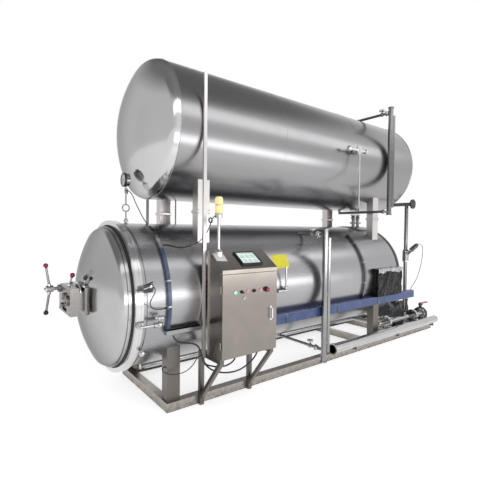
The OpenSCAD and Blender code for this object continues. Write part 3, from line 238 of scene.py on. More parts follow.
def skin(tree, shader, colour, rough, height, strength, depth):
    """Feed the shader its colour, its roughness and a bumped normal."""
    bump = shader_node(tree, "ShaderNodeBump", {"Height": height, "Strength": strength, "Distance": depth})
    for key, value in (("Base Color", colour), ("Roughness", rough), ("Normal", bump.outputs[0])):
        feed(tree, shader.inputs[key], value)


def rgba(colour):
    return (*colour, 1.0)


def steel(name, colour, shade, rough, brushing, fineness=9.0, relief=0.08, marks=1.6, grime=0.0,
          spread_by=0.05, edge=1.0):
    """Stainless sheet or bar: drawn grain, wiped marks and, near the floor, some grime."""
    material, tree, shader, where = start_material(
        name, {"Metallic": 1.0, "Specular Tint": (edge, edge, edge, 1.0)})
    drawn = shader_node(tree, "ShaderNodeMapping", {"Vector": where, "Scale": brushing}).outputs[0]
    grain = use_group(tree, GRAIN, drawn, Fineness=fineness).outputs[0]
    wiped = use_group(tree, MARKS, where, Size=marks).outputs[0]
    tone = weigh(tree, grain, wiped, 0.45)
    colour_now = mix_colour(tree, tone, rgba(colour), rgba(shade))
    rough_now = spread(tree, tone, rough - spread_by, rough + spread_by)
    if grime:
        low = use_group(tree, GRIME, where, Height=grime).outputs[0]
        colour_now = mix_colour(tree, low, colour_now, rgba(GRIME_COLOUR))
        rough_now = math_node(tree, "ADD", rough_now, math_node(tree, "MULTIPLY", low, 0.22))
    skin(tree, shader, colour_now, rough_now, grain, relief, 0.0006)
    return material


def moulded(name, colour, shade, rough, size=420.0, relief=0.12, marks=9.0, coat=0.0):
    """Paint, rubber or moulded plastic with a pebbled skin and handling marks."""
    material, tree, shader, where = start_material(name, {"Metallic": 0.0, "Coat Weight": coat})
    pits = use_group(tree, PITS, where, Size=size).outputs[0]
    wiped = use_group(tree, MARKS, where, Size=marks).outputs[0]
    tone = weigh(tree, pits, wiped, 0.35)
    skin(tree, shader, mix_colour(tree, tone, rgba(colour), rgba(shade)),
         spread(tree, tone, rough - 0.06, rough + 0.08), pits, relief, 0.0005)
    return material


def lit(name, colour, glow, strength, rough=0.25):
    """Clear moulded lens with a lamp behind it: streaks of its own colour and of its glow."""
    material, tree, shader, where = start_material(
        name, {"Emission Strength": strength, "Metallic": 0.0, "Coat Weight": 0.5})
    flute = use_group(tree, MARKS, where, Size=38.0).outputs[0]
    feed(tree, shader.inputs["Base Color"], mix_colour(tree, flute, rgba(colour), rgba(glow)))
    feed(tree, shader.inputs["Emission Color"], mix_colour(tree, flute, rgba(glow), rgba(colour)))
    feed(tree, shader.inputs["Roughness"], spread(tree, flute, rough - 0.08, rough + 0.08))
    return material


def film(name, colour, shade, crease_colour, rough, size, relief, depth, metallic=0.0, gloss=0.5,
         fold=0.15):
    """Protective or wrapping film whose creases are bumped and, by the fold's share, paler."""
    material, tree, shader, where = start_material(
        name, {"Metallic": metallic, "Specular IOR Level": gloss})
    creases = use_group(tree, CREASES, where, Size=size)
    wiped = use_group(tree, MARKS, where, Size=3.5).outputs[0]
    body = mix_colour(tree, wiped, rgba(colour), rgba(shade))
    ridges = math_node(tree, "MULTIPLY", creases.outputs["Ridges"], fold)
    skin(tree, shader, mix_colour(tree, ridges, body, rgba(crease_colour)),
         spread(tree, wiped, rough - 0.06, rough + 0.1), creases.outputs["Height"], relief, depth)
    return material


# Brushing: how often the grain repeats along X, Y and Z.
ALONG = (0.6, 22.0, 22.0)
UPRIGHT = (30.0, 30.0, 2.0)
POST = (40.0, 40.0, 2.0)
SPUN = (30.0, 30.0, 30.0)
PIPE = (18.0, 18.0, 18.0)
SMALL = (60.0, 60.0, 60.0)

clad_sheet = steel("clad_sheet", (0.38, 0.38, 0.39), (0.34, 0.34, 0.35), 0.28, ALONG,
                   relief=0.006, marks=0.9, spread_by=0.015)
tank_sheet = steel("tank_sheet", (0.32, 0.32, 0.325), (0.29, 0.29, 0.295), 0.25, ALONG,
                   relief=0.006, marks=0.8, spread_by=0.015)
door_polish = steel("door_polish", (0.53, 0.525, 0.53), (0.46, 0.455, 0.46), 0.2, SPUN, 4.0,
                    relief=0.012, marks=2.2, spread_by=0.03, edge=0.45)
mirror_head = steel("mirror_head", (0.62, 0.62, 0.625), (0.56, 0.56, 0.565), 0.15, SPUN, 4.0,
                    relief=0.008, marks=2.2, spread_by=0.02, edge=0.45)
machined_ring = steel("machined_ring", (0.7, 0.69, 0.69), (0.56, 0.55, 0.55), 0.18, (90.0, 3.0, 3.0), 7.0)
lock_satin = steel("lock_satin", (0.3, 0.285, 0.275), (0.2, 0.19, 0.185), 0.27, UPRIGHT, 12.0)
gauge_steel = steel("gauge_steel", (0.34, 0.34, 0.345), (0.24, 0.24, 0.245), 0.18, UPRIGHT, 8.0)
plate_satin = steel("plate_satin", (0.4, 0.39, 0.38), (0.32, 0.31, 0.3), 0.34, UPRIGHT, 12.0)
skid_satin = steel("skid_satin", (0.5, 0.47, 0.44), (0.4, 0.37, 0.345), 0.33, (2.0, 40.0, 40.0), 10.0,
                   grime=0.12)
leg_satin = steel("leg_satin", (0.19, 0.178, 0.168), (0.14, 0.132, 0.125), 0.32, POST, 10.0, grime=0.35)
column_pale = steel("column_pale", (0.66, 0.635, 0.63), (0.58, 0.56, 0.555), 0.38, POST, 10.0)
cabinet_sheet = steel("cabinet_sheet", (0.29, 0.265, 0.24), (0.23, 0.21, 0.19), 0.24, (1.5, 60.0, 60.0),
                      12.0, marks=2.4)
pipe_bright = steel("pipe_bright", (0.55, 0.55, 0.55), (0.44, 0.44, 0.44), 0.2, PIPE, 8.0)
pipe_dark = steel("pipe_dark", (0.22, 0.22, 0.225), (0.15, 0.15, 0.155), 0.26, PIPE, 8.0)
chrome = steel("chrome", (0.7, 0.7, 0.7), (0.6, 0.6, 0.6), 0.12, SMALL, 5.0, 0.03)
bolt_steel = steel("bolt_steel", (0.42, 0.42, 0.41), (0.3, 0.3, 0.29), 0.3, SMALL, 6.0)
black_rubber = moulded("black_rubber", (0.018, 0.018, 0.019), (0.032, 0.031, 0.03), 0.55)
black_plastic = moulded("black_plastic", (0.016, 0.016, 0.017), (0.03, 0.03, 0.031), 0.36)
red_knob = moulded("red_knob", (0.33, 0.007, 0.038), (0.24, 0.006, 0.026), 0.24, 260.0, 0.05, coat=0.4)
pump_enamel = moulded("pump_enamel", (0.05, 0.054, 0.06), (0.075, 0.078, 0.082), 0.38, 300.0, 0.2)
cord_sheath = moulded("cord_sheath", (0.014, 0.014, 0.015), (0.028, 0.028, 0.029), 0.48, 500.0, 0.2)
white_plate = moulded("white_plate", (0.72, 0.72, 0.71), (0.64, 0.64, 0.63), 0.4, 200.0, 0.05, 6.0)
dial_black = moulded("dial_black", (0.012, 0.012, 0.012), (0.02, 0.02, 0.02), 0.4, 300.0, 0.05)
yellow_plate = moulded("yellow_plate", (0.72, 0.66, 0.01), (0.62, 0.56, 0.01), 0.38, 200.0, 0.05, 5.0)
pale_plastic = moulded("pale_plastic", (0.66, 0.62, 0.56), (0.56, 0.53, 0.48), 0.4, 300.0, 0.08, 6.0)
blue_film = film("blue_film", (0.044, 0.07, 0.19), (0.062, 0.095, 0.245), (0.16, 0.2, 0.34),
                 0.3, 5.0, 0.06, 0.003, gloss=0.4)
tray_film = film("tray_film", (0.056, 0.074, 0.128), (0.084, 0.108, 0.175), (0.26, 0.29, 0.36),
                 0.3, 5.0, 0.06, 0.003, metallic=0.4)
black_wrap = film("black_wrap", (0.005, 0.005, 0.006), (0.009, 0.009, 0.01), (0.02, 0.02, 0.022),
                  0.14, 8.0, 0.5, 0.02, gloss=0.14)
silver_wrap = film("silver_wrap", (0.42, 0.42, 0.43), (0.3, 0.3, 0.31), (0.66, 0.66, 0.67),
                   0.22, 12.0, 0.5, 0.01, metallic=0.6, fold=0.5)
amber_lens = lit("amber_lens", (0.84, 0.56, 0.2), (1.0, 0.86, 0.4), 0.42)
green_lens = lit("green_lens", (0.02, 0.62, 0.3), (0.3, 1.0, 0.66), 2.0)
red_lens = lit("red_lens", (0.55, 0.03, 0.06), (0.95, 0.3, 0.34), 0.55)
screen_glow = lit("screen_glow", (0.52, 0.62, 0.6), (0.74, 0.8, 0.79), 0.55)
screen_tile = lit("screen_tile", (0.4, 0.54, 0.49), (0.56, 0.68, 0.63), 0.36)

# Finishes of the nodes that show as they are packed.
FINISH = (
    (skid_satin, "skid_side_beams skid_end_beams skid_cross_beams"),
    (leg_satin, "vessel_legs cabinet_brackets"),
    (lock_satin, "lock_housing"),
    (gauge_steel, "retort_level_gauge door_handle pressure_gauge"),
    (clad_sheet, "jacket jacket_rear_cover"),
    (tank_sheet, "tank_shell"),
    (door_polish, "door_rim"),
    (machined_ring, "door_ring"),
    (plate_satin, "retort_shell retort_rear_head basket_rails door_hinge_lugs door_arm"),
    (chrome, "cabinet_handle tank_gauge"),
    (red_knob, "butterfly_lever"),
    (column_pale, "column_feet column_heads cable_conduit beacon_pole"),
    (cabinet_sheet, "cabinet_body cabinet_door"),
    (black_plastic, "touch_screen riser_flange butterfly_valve"),
    (blue_film, "cable_trunks"),
    (tray_film, "hoop_ducts"),
    (pipe_bright, "bottom_header drain_pipe pump_pipe neck_fittings"),
    (pipe_dark, "tank_level_gauge pump_riser riser_valve vent_valves"),
    (pump_enamel, "pump"),
)
for material, names in FINISH:
    for name in names.split():
        nodes[name].data.materials.clear()
        nodes[name].data.materials.append(material)

# The rear hoop is bare, and so is the front one down to where its film was peeled. The open tray
# in front of the main trunk is bare too, and the trunk's rear end has the hoop's film.
BETWEEN_HOOPS, PEELED_TO, TRAY_END, TRUNK_END = 1.0, 1.41, 0.62, 3.62


def second_finish(name, material, chosen):
    """Give the faces of a node that a rule picks another finish."""
    mesh = nodes[name].data
    mesh.materials.append(material)
    for face in mesh.polygons:
        if chosen(face.center):
            face.material_index = len(mesh.materials) - 1


second_finish("hoop_ducts", pipe_dark, lambda at: at.x > BETWEEN_HOOPS)
second_finish("hoop_ducts", pipe_bright, lambda at: at.x < BETWEEN_HOOPS and at.z > PEELED_TO)
second_finish("cable_trunks", tray_film, lambda at: at.x > TRUNK_END)
second_finish("cable_trunks", gauge_steel, lambda at: at.x < TRAY_END)


# Cords: each repeats its route in the part's source.
def on_cladding(x, turn):
    reach = CLAD_R + 0.0043
    return (x, -reach * math.sin(math.radians(turn)), RETORT_Z + reach * math.cos(math.radians(turn)))


CORDS = {
    "gauge_lead": (0.008, "medium", "hanging", [
        (-0.187, 0, 1.915), (-0.17, 0, 1.912), (-0.146, -0.016, 1.876), (-0.13, -0.05, 1.808),
        (-0.112, -0.105, 1.728), (-0.096, -0.168, 1.65), (-0.087, -0.212, 1.611),
        (-0.085, -0.23205, 1.58539), (-0.085, -0.24874, 1.57865)]),
    "beacon_lead": (0.008, "medium", "loose", [
        (0.311, -0.728, BEACON_Z - 0.013), (0.294, -0.728, BEACON_Z - 0.013), (0.277, -0.724, 1.656),
        (0.27, -0.706, 1.604), (0.272, -0.65, 1.54), (0.27, -0.562, 1.474), (0.25, -0.485, 1.433),
        on_cladding(0.205, 45.5), on_cladding(0.135, 47.5), on_cladding(0.065, 46.5), on_cladding(0, 44.5),
        on_cladding(-0.07, 44.5)]),
    "switch_lead": (0.008, "limp", "hanging", [
        (-0.255, -0.706, 1.115), (-0.237, -0.706, 1.115), (-0.232, -0.711, 1.08), (-0.258, -0.716, 1.038),
        (-0.275, -0.712, 0.995), (-0.248, -0.7, 0.953), (-0.185, -0.68, 0.932),
        (-0.118, -0.66313, 0.929), (-0.1, -0.66313, 0.929)]),
    "sensor_lead": (0.008, "medium", "hanging", [
        (-0.0275, -0.4555, 0.37), (-0.048, -0.4555, 0.37), (-0.06, -0.49, 0.354), (-0.022, -0.536, 0.333),
        (0.045, -0.562, 0.328), (0.115, -0.592, 0.35), (0.16, -0.628, 0.408), (0.178, -0.654, 0.462),
        (0.193, -0.6603, 0.48), (0.225, -0.6603, 0.48)]),
    "long_cable": (0.014, "stiff", "hanging", [
        (-0.04, -0.63585, 0.708), (-0.04, -0.63585, 0.69), (-0.01, -0.654, 0.634), (0.06, -0.674, 0.62),
        (0.135, -0.684, 0.606), (0.182, -0.688, 0.566), (0.2, -0.69, 0.5), (0.222, -0.696, 0.425),
        (0.28, -0.714, 0.362), (0.36, -0.738, 0.325), (0.45, -0.752, 0.308), (0.56, -0.76, 0.311),
        (0.66, -0.764, 0.348), (0.742, -0.766, 0.408), (0.77, -0.766, 0.456), (0.77, -0.766, 0.49)]),
    "short_cable": (0.014, "stiff", "hanging", [
        (0.24, -0.6603, 0.465), (0.24, -0.6603, 0.447), (0.244, -0.68, 0.41), (0.3, -0.706, 0.384),
        (0.375, -0.726, 0.368), (0.45, -0.74, 0.376), (0.505, -0.748, 0.408), (0.52, -0.75, 0.448),
        (0.52, -0.75, 0.49)]),
    "tank_lead": (0.008, "medium", "hanging", [
        (2.344, -0.725, 1.834), (2.344, -0.725, 1.816), (2.42, -0.665, 1.762), (2.6, -0.518, 1.722),
        (2.8, -0.356, 1.698), (2.98, -0.22, 1.68), (3.07, -0.15342, 1.62752), (3.07, -0.14943, 1.61027)]),
    "pump_cable": (0.03, "stiff", "hanging", [
        (3.66, -0.63938, 0.615), (3.66, -0.63938, 0.56), (3.664, -0.632, 0.48), (3.684, -0.61, 0.416),
        (3.74, -0.56, 0.386), (3.85, -0.462, 0.388), (3.97, -0.364, 0.408), (4.046, -0.318, 0.427),
        (4.06, -0.283, 0.429), (4.06, -0.265, 0.429)]),
    "air_hose": (0.008, "medium", "hanging", [
        (3.972, -0.6189, 1.3689), (3.972, -0.6315, 1.3815), (3.982, -0.68, 1.36), (3.984, -0.692, 1.24),
        (3.94, -0.68, 1.01), (3.85, -0.656, 0.82), (3.775, -0.63938, 0.733), (3.775, -0.63938, 0.715)]),
}

ROUTE_STEPS, ROUTE_SPOTS, CORD_SPOTS, CORD_PASSES = 10, 60, 38, 5


def even_spots(line, count):
    """Points at even steps along a line."""
    reach = [0.0]
    for a, b in zip(line, line[1:]):
        reach.append(reach[-1] + (b - a).length)
    spots, k = [], 0
    for i in range(count):
        want = reach[-1] * i / (count - 1)
        while k < len(line) - 2 and reach[k + 1] < want:
            k += 1
        spots.append(line[k].lerp(line[k + 1], (want - reach[k]) / (reach[k + 1] - reach[k])))
    return spots


def round_route(points, count=CORD_SPOTS, passes=CORD_PASSES):
    """Smooth line along the route's points, which eases its bends and keeps its two ends straight."""
    route = [Vector(p) for p in points]
    gaps = [(b - a).length for a, b in zip(route, route[1:])]
    ways = [(b - a) / gap for a, b, gap in zip(route, route[1:], gaps)]
    slopes = [(ways[i] * gaps[i + 1] + ways[i + 1] * gaps[i]) / (gaps[i] + gaps[i + 1])
              for i in range(len(gaps) - 1)]
    slopes = [ways[0]] + slopes + [ways[-1]]
    line = [route[0]]
    for i, gap in enumerate(gaps):
        for k in range(1, ROUTE_STEPS + 1):
            t = k / ROUTE_STEPS
            line.append(route[i] * (2 * t**3 - 3 * t**2 + 1) + slopes[i] * gap * (t**3 - 2 * t**2 + t)
                        + route[i + 1] * (3 * t**2 - 2 * t**3) + slopes[i + 1] * gap * (t**3 - t**2))
    line = even_spots(line, ROUTE_SPOTS)
    for _ in range(passes):
        eased = [line[i] * 0.5 + (line[i - 1] + line[i + 1]) * 0.25 for i in range(2, len(line) - 2)]
        line = line[:2] + eased + line[-2:]
    return even_spots(line, count)


def lay_cord(name, thick, points):
    line = round_route(points)
    curve = bpy.data.curves.new(name + "_sheath", "CURVE")
    curve.dimensions = "3D"
    curve.bevel_depth = thick / 2
    curve.bevel_resolution = 3
    curve.use_fill_caps = True
    spline = curve.splines.new("POLY")
    spline.points.add(len(line) - 1)
    for place, spot in zip(spline.points, line):
        place.co = (*spot, 1.0)
    spline.use_smooth = True
    cord = bpy.data.objects.new(name + "_sheath", curve)
    scene.collection.objects.link(cord)
    curve.materials.append(cord_sheath)
    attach(cord, "plant")
    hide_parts(name)


for name, (thick, stiffness, lay, points) in CORDS.items():
    lay_cord(name, thick, points)


# Detail pieces: each sub-shape is made in its own bmesh, put in its place and joined to its piece.
SHARP = math.radians(36)
SEATED = -0.0005


def facing(at, ahead):
    """Place that lays a sub-shape's Z along a direction."""
    return Matrix.Translation(at) @ Vector(ahead).to_track_quat("Z", "Y").to_matrix().to_4x4()


def placed(x, y, z):
    return Matrix.Translation((x, y, z))


def spun(turn):
    return Matrix.Rotation(turn, 4, "Z")


def join(whole, part, where=None, finish=0):
    if where is not None:
        bmesh.ops.transform(part, matrix=where, verts=part.verts)
    for face in part.faces:
        face.material_index = finish
    carried = bpy.data.meshes.new("carried")
    part.to_mesh(carried)
    part.free()
    whole.from_mesh(carried)
    bpy.data.meshes.remove(carried)


def piece(body, slot, *finishes, replaced=(), name=None):
    """Make the piece that a function is named after: it adds the sub-shapes, each in one of the finishes."""
    def build(fill):
        label = name or fill.__name__
        whole = bmesh.new()

        def add(part, where=None, finish=finishes[0]):
            join(whole, part, where, finishes.index(finish))

        fill(add)
        mesh = bpy.data.meshes.new(label)
        whole.to_mesh(mesh)
        whole.free()
        for material in finishes:
            mesh.materials.append(material)
        mesh.shade_smooth()
        mesh.set_sharp_from_angle(angle=SHARP)
        made = bpy.data.objects.new(label, mesh)
        scene.collection.objects.link(made)
        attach(made, body)
        if replaced:
            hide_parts(*replaced)
        return fill
    return build


def turned(profile, steps=32):
    """Round shape: a line of radius and height, spun about Z."""
    part = bmesh.new()
    line = [part.verts.new((r, 0.0, z)) for r, z in profile]
    edges = [part.edges.new(pair) for pair in zip(line, line[1:])]
    bmesh.ops.spin(part, geom=line + edges, axis=(0, 0, 1), cent=(0, 0, 0), steps=steps,
                   angle=math.tau, use_merge=True)
    bmesh.ops.remove_doubles(part, verts=part.verts, dist=1e-6)
    bmesh.ops.recalc_face_normals(part, faces=part.faces)
    return part


def bead(radius, thick, sides=8):
    """Closed round section of a ring."""
    turns = [math.tau * i / sides for i in range(sides + 1)]
    return [(radius + thick * math.cos(a), thick * math.sin(a)) for a in turns]


def ease(part, edges, offset, segments):
    bmesh.ops.bevel(part, geom=edges, offset=offset, offset_type="OFFSET", segments=segments,
                    profile=0.5, affect="EDGES", material=-1)


def eased_block(size, offset=0.001, segments=2):
    part = bmesh.new()
    bmesh.ops.create_cube(part, size=1.0)
    bmesh.ops.scale(part, vec=size, verts=part.verts)
    ease(part, part.edges[:], offset, segments)
    return part


def hex_bolt(across, high):
    """Hexagon head with chamfered corners on its washer, seated on local z = 0."""
    part = bmesh.new()
    reach = across / math.sqrt(3)
    bmesh.ops.create_cone(part, cap_ends=True, segments=6, radius1=reach, radius2=reach, depth=high)
    bmesh.ops.translate(part, vec=(0, 0, high / 2 + across * 0.1), verts=part.verts)
    top = [e for e in part.edges if all(v.co.z > high * 0.9 for v in e.verts)]
    ease(part, top, across * 0.08, 1)
    rim, washer = across * 0.66, across * 0.13
    join(part, turned([(0, washer), (rim, washer), (rim, SEATED), (0, SEATED)], 16))
    return part


def screw_head(wide):
    return turned([(0, 0.42 * wide), (0.22 * wide, 0.4 * wide), (0.42 * wide, 0.26 * wide),
                   (0.5 * wide, 0.06 * wide), (0.5 * wide, SEATED), (0, SEATED)], 16)


def ball_knob(wide):
    """Ball with a short collar towards its stem."""
    reach = wide / 2
    turns = [math.radians(a) for a in range(-60, 90, 15)]
    return turned([(0, -1.2 * reach), (0.46 * reach, -1.2 * reach), (0.5 * reach, -1.1 * reach)]
                  + [(reach * math.cos(a), reach * math.sin(a)) for a in turns] + [(0, reach)], 28)


def bent_rod(points, radius, sides=12):
    """Round bar through its points, extruded from one capped end to the other."""
    route = round_route(points, 24, 1) if len(points) > 2 else [Vector(p) for p in points]
    along = [(route[min(i + 1, len(route) - 1)] - route[max(i - 1, 0)]).normalized()
             for i in range(len(route))]
    part = bmesh.new()
    bmesh.ops.create_circle(part, cap_ends=True, segments=sides, radius=radius)
    bmesh.ops.transform(part, matrix=facing(route[0], along[0]), verts=part.verts)
    end = part.faces[:]
    for i in range(1, len(route)):
        made = bmesh.ops.extrude_face_region(part, geom=end)["geom"]
        end = [g for g in made if isinstance(g, bmesh.types.BMFace)]
        moved = [g for g in made if isinstance(g, bmesh.types.BMVert)]
        bmesh.ops.translate(part, vec=route[i] - route[i - 1], verts=moved)
        bmesh.ops.rotate(part, cent=route[i], verts=moved,
                         matrix=along[i - 1].rotation_difference(along[i]).to_matrix())
    bmesh.ops.recalc_face_normals(part, faces=part.faces)
    return part


def bolt_ring(radius, count, across):
    part = bmesh.new()
    for i in range(count):
        turn = math.tau * (i + 0.5) / count
        join(part, hex_bolt(across, across * 0.6),
             placed(radius * math.cos(turn), radius * math.sin(turn), 0))
    return part


# Dished ends, spun from a fine outline so that their reflections run smoothly.
CROWN = 1.2


def dish(radius, crown, knuckle):
    """Outline of a dished end from its tangent line to its pole."""
    turn = math.asin((radius - knuckle) / (crown - knuckle))
    depth = crown - math.sqrt((crown - knuckle) ** 2 - (radius - knuckle) ** 2)
    bend = [(math.pi / 2 - turn) * i / 20 for i in range(20)]
    dome = [turn * (1 - i / 40) for i in range(41)]
    return ([(radius - knuckle + knuckle * math.cos(a), knuckle * math.sin(a)) for a in bend]
            + [(crown * math.sin(b), depth - crown + crown * math.cos(b)) for b in dome])


def spin_head(node, body, finish, at, ahead, radius, knuckle, plate):
    @piece(body, "polished_steel", finish, replaced=[node], name=node + "_spun")
    def head(add):
        outer = dish(radius, CROWN, knuckle)
        inner = dish(radius - plate, CROWN - plate, knuckle - plate)
        add(turned(outer + inner[::-1] + outer[:1], 160), facing(at, ahead))


spin_head("door_head", "door", door_polish, (DOOR_FRONT, 0.0, RETORT_Z), FRONT, 0.61, 0.07, 0.01)
spin_head("tank_front_head", "plant", mirror_head, (TANK_FRONT, 0.0, TANK_Z), FRONT, TANK_R, 0.1, 0.005)
spin_head("tank_rear_head", "plant", mirror_head, (TANK_REAR, 0.0, TANK_Z), REAR, TANK_R, 0.1, 0.005)

# Door ring, vessels and columns.
# Black ring in the gap between the door rim and the door ring: a seal, and also painted shadow of that gap.
SHADOW_GASKET_X, SHADOW_GASKET_R, SHADOW_GASKET_THICK = -0.3728, 0.6285, 0.0058
RING_LIPS_X, REAR_SEAL_X = (-0.356, -0.318), 3.4
PIN_X, PIN_Y, PIN_TOP, PIN_FOOT = -0.38386, 0.745, 1.06, 0.865
TANK_LAPS, CLAD_LAPS = (1.232, 2.47), (0.93, 1.935)
COLUMNS_X, COLUMN_ROWS, COLUMN_STEPS = (0.368, 3.146), (-0.445, -0.34, 0.34, 0.445), (-0.058, 0.0, 0.058)
JOINT_TOP, JOINT_LOW = 1.738, 1.718
LINE_FLANGES_X, LINE_Y, LINE_Z, FLANGE_T = (3.434, 4.18), -0.44, 0.245, 0.022


@piece("plant", "ring_steel", machined_ring, bolt_steel)
def ring_bands(add):
    """Raised lips on the door ring and the heads of its hinge pin."""
    for x in RING_LIPS_X:
        add(turned([(0.6712, -0.007), (0.674, -0.006), (0.6748, 0.0), (0.674, 0.006), (0.6712, 0.007),
                    (0.6712, -0.007)], 128), facing((x, 0, RETORT_Z), REAR))
    for z, way in ((PIN_TOP, UP), (PIN_FOOT, DOWN)):
        add(hex_bolt(0.034, 0.015), facing((PIN_X, PIN_Y, z), way), bolt_steel)


@piece("plant", "black_rubber", black_rubber, replaced=["rear_edge_band"])
def rear_seal(add):
    add(turned([(0.65, -0.024), (0.6532, -0.022), (0.6546, 0.0), (0.6532, 0.021), (0.65, 0.023),
                (0.65, -0.024)], 128), facing((REAR_SEAL_X, 0, RETORT_Z), REAR))


# Black rubber ring in the gap between the door rim and the door ring: partly a seal, partly painted shadow of
# the gap.
@piece("plant", "black_rubber", black_rubber)
def door_shadow_gasket(add):
    add(turned(bead(SHADOW_GASKET_R, SHADOW_GASKET_THICK), 96), facing((SHADOW_GASKET_X, 0, RETORT_Z), FRONT))


@piece("plant", "shell_steel", bolt_steel)
def vessel_seams(add):
    for spots, axis, radius, thick in (((TANK_FRONT, TANK_REAR), TANK_Z, TANK_R - 0.001, 0.0045),
                                       (TANK_LAPS, TANK_Z, TANK_R - 0.0002, 0.0015),
                                       (CLAD_LAPS, RETORT_Z, CLAD_R - 0.0002, 0.0013)):
        for x in spots:
            add(turned(bead(radius, thick), 96), facing((x, 0, axis), REAR))


@piece("plant", "column_steel", bolt_steel)
def column_joint_bolts(add):
    for x in COLUMNS_X:
        for y in COLUMN_ROWS:
            for step in COLUMN_STEPS:
                for z, way in ((JOINT_TOP, UP), (JOINT_LOW, DOWN)):
                    add(hex_bolt(0.0096, 0.007), facing((x + step, y, z), way))


@piece("plant", "pipe_steel", bolt_steel)
def line_flange_bolts(add):
    for x in LINE_FLANGES_X:
        for side in (-1, 1):
            add(bolt_ring(0.078, 8, 0.018), facing((x + side * FLANGE_T, LINE_Y, LINE_Z), (side, 0, 0)))


# Lock on the door and its turning handle.
LOCK_X = -0.7267
BOSSES = ((-0.112, 0.008, 0.044), (-0.02, 0.03, 0.033), (0.042, -0.052, 0.022))
LOCK_SCREWS_Y, LOCK_SCREWS_Z = (-0.184, 0.184), (0.866, 1.046)
GRIP_X, GRIP_Y, GRIP_SEAT_Z = -0.636, 0.15, 1.0375
LEVER_SEAT_Z = 1.0755
HUB = Vector((-0.8107, 0.15, 1.04))
ARM_LEAN, ARM_RISE, ARM_REACH = -0.1461, 0.9893, 0.205


@piece("door", "plate_steel", lock_satin, pipe_dark, bolt_steel, chrome)
def lock_caps(add):
    """Caps and bolts of the lock's bosses, its cover screws and the bent grip over it."""
    for y, up, r in BOSSES:
        x, z = LOCK_X - 0.01, RETORT_Z + up
        where = facing((x, y, z), FRONT)
        add(turned([(r * 0.98, -0.001), (r * 0.98, 0.005), (r * 0.9, 0.008), (r * 0.66, 0.008),
                    (r * 0.62, 0.002)], 40), where)
        add(turned([(r * 0.62, 0.002), (r * 0.34, 0.0015), (r * 0.3, 0.007), (0, 0.008)], 40),
            where, pipe_dark)
        add(bolt_ring(r * 0.78, 6, 0.006), facing((x - 0.0075, y, z), FRONT), bolt_steel)
    for y in LOCK_SCREWS_Y:
        for z in LOCK_SCREWS_Z:
            add(screw_head(0.016), facing((LOCK_X, y, z), FRONT), bolt_steel)
    half = [(GRIP_X, GRIP_Y, 1.034), (GRIP_X, 0.149, 1.06), (-0.6365, 0.128, 1.088), (-0.637, 0.04, 1.098)]
    add(bent_rod([(x, -y, z) for x, y, z in half] + half[::-1], 0.0075), None, chrome)
    for y in (-GRIP_Y, GRIP_Y):
        add(turned([(0, 0.014), (0.013, 0.012), (0.014, 0.0), (0, 0.0)], 20),
            facing((GRIP_X, y, GRIP_SEAT_Z), UP), chrome)


@piece("door", "red_knob", chrome, red_knob, black_plastic, replaced=["lock_levers"])
def lock_levers_dressed(add):
    for foot, top, thick, knob, finish in (
            ((-0.6917, 0.0, 1.074), (-0.665, -0.012, 1.166), 0.008, 0.042, red_knob),
            ((-0.6077, -0.15, 1.074), (-0.6085, -0.192, 1.158), 0.007, 0.034, black_plastic)):
        add(bent_rod([foot, top], thick))
        add(turned([(thick * 0.9, 0.024), (thick * 1.5, 0.021), (thick * 1.9, 0.008), (thick * 1.9, 0.0),
                    (0, 0.0)], 24), facing((foot[0], foot[1], LEVER_SEAT_Z), UP))
        add(ball_knob(knob), facing(top, Vector(top) - Vector(foot)), finish)


@piece("handle", "red_knob", red_knob, black_plastic, chrome, bolt_steel,
       replaced=["handle_knobs"])
def handle_knobs_dressed(add):
    """Ball knobs, collars at the arms' roots and the hub's cap with its bolt."""
    for up, finish in ((1, red_knob), (-1, black_plastic)):
        arm = Vector((ARM_LEAN, 0.0, ARM_RISE * up))
        add(ball_knob(0.041), facing(HUB + arm * ARM_REACH, arm), finish)
        add(turned([(0.0101, 0.03), (0.0135, 0.028), (0.0155, 0.02), (0.0155, -0.01)], 24),
            facing(HUB + arm * 0.02, arm), chrome)
    add(turned([(0.0288, -0.001), (0.028, 0.004), (0.019, 0.006), (0.017, 0.01), (0, 0.0108)], 32),
        facing(HUB - Vector((0.026, 0, 0)), FRONT), chrome)
    add(hex_bolt(0.015, 0.007), facing(HUB - Vector((0.0365, 0, 0)), FRONT), bolt_steel)


# Pressure gauge on its siphon.
DIAL = (-0.223, 0.0, 2.012)
DIAL_START, DIAL_STEP, DIAL_MARKS, NEEDLE_TURN = 225, 13.5, 21, 205


@piece("plant", "polished_steel", white_plate, dial_black, chrome)
def gauge_dial(add):
    where = facing(DIAL, FRONT)
    add(turned([(0.056, -0.0005), (0.056, 0.0008), (0, 0.0008)], 48), where)
    add(turned([(0.0555, -0.0005), (0.0555, 0.004), (0.059, 0.0068), (0.0646, 0.0035), (0.065, -0.012),
                (0.064, -0.012), (0.064, -0.0005), (0.0555, -0.0005)], 48), where, dial_black)
    for i in range(DIAL_MARKS):
        turn = spun(math.radians(DIAL_START - DIAL_STEP * i))
        long = 0.011 if i % 5 == 0 else 0.006
        add(eased_block((long, 0.0018, 0.0006), 0.0002, 1),
            where @ turn @ placed(0.052 - long / 2, 0, 0.0011), dial_black)
    add(eased_block((0.052, 0.003, 0.0008), 0.0003, 1),
        where @ spun(math.radians(NEEDLE_TURN)) @ placed(0.016, 0, 0.0022), dial_black)
    add(turned([(0.0055, 0.0006), (0.0055, 0.003), (0, 0.0038)], 20), where, dial_black)
    add(hex_bolt(0.024, 0.018), facing((-0.2, 0, 1.9375), DOWN), chrome)
    add(bent_rod([(-0.2, -0.01, 1.915), (-0.2, -0.026, 1.915), (-0.201, -0.04, 1.905),
                  (-0.202, -0.044, 1.88)], 0.0045), None, dial_black)


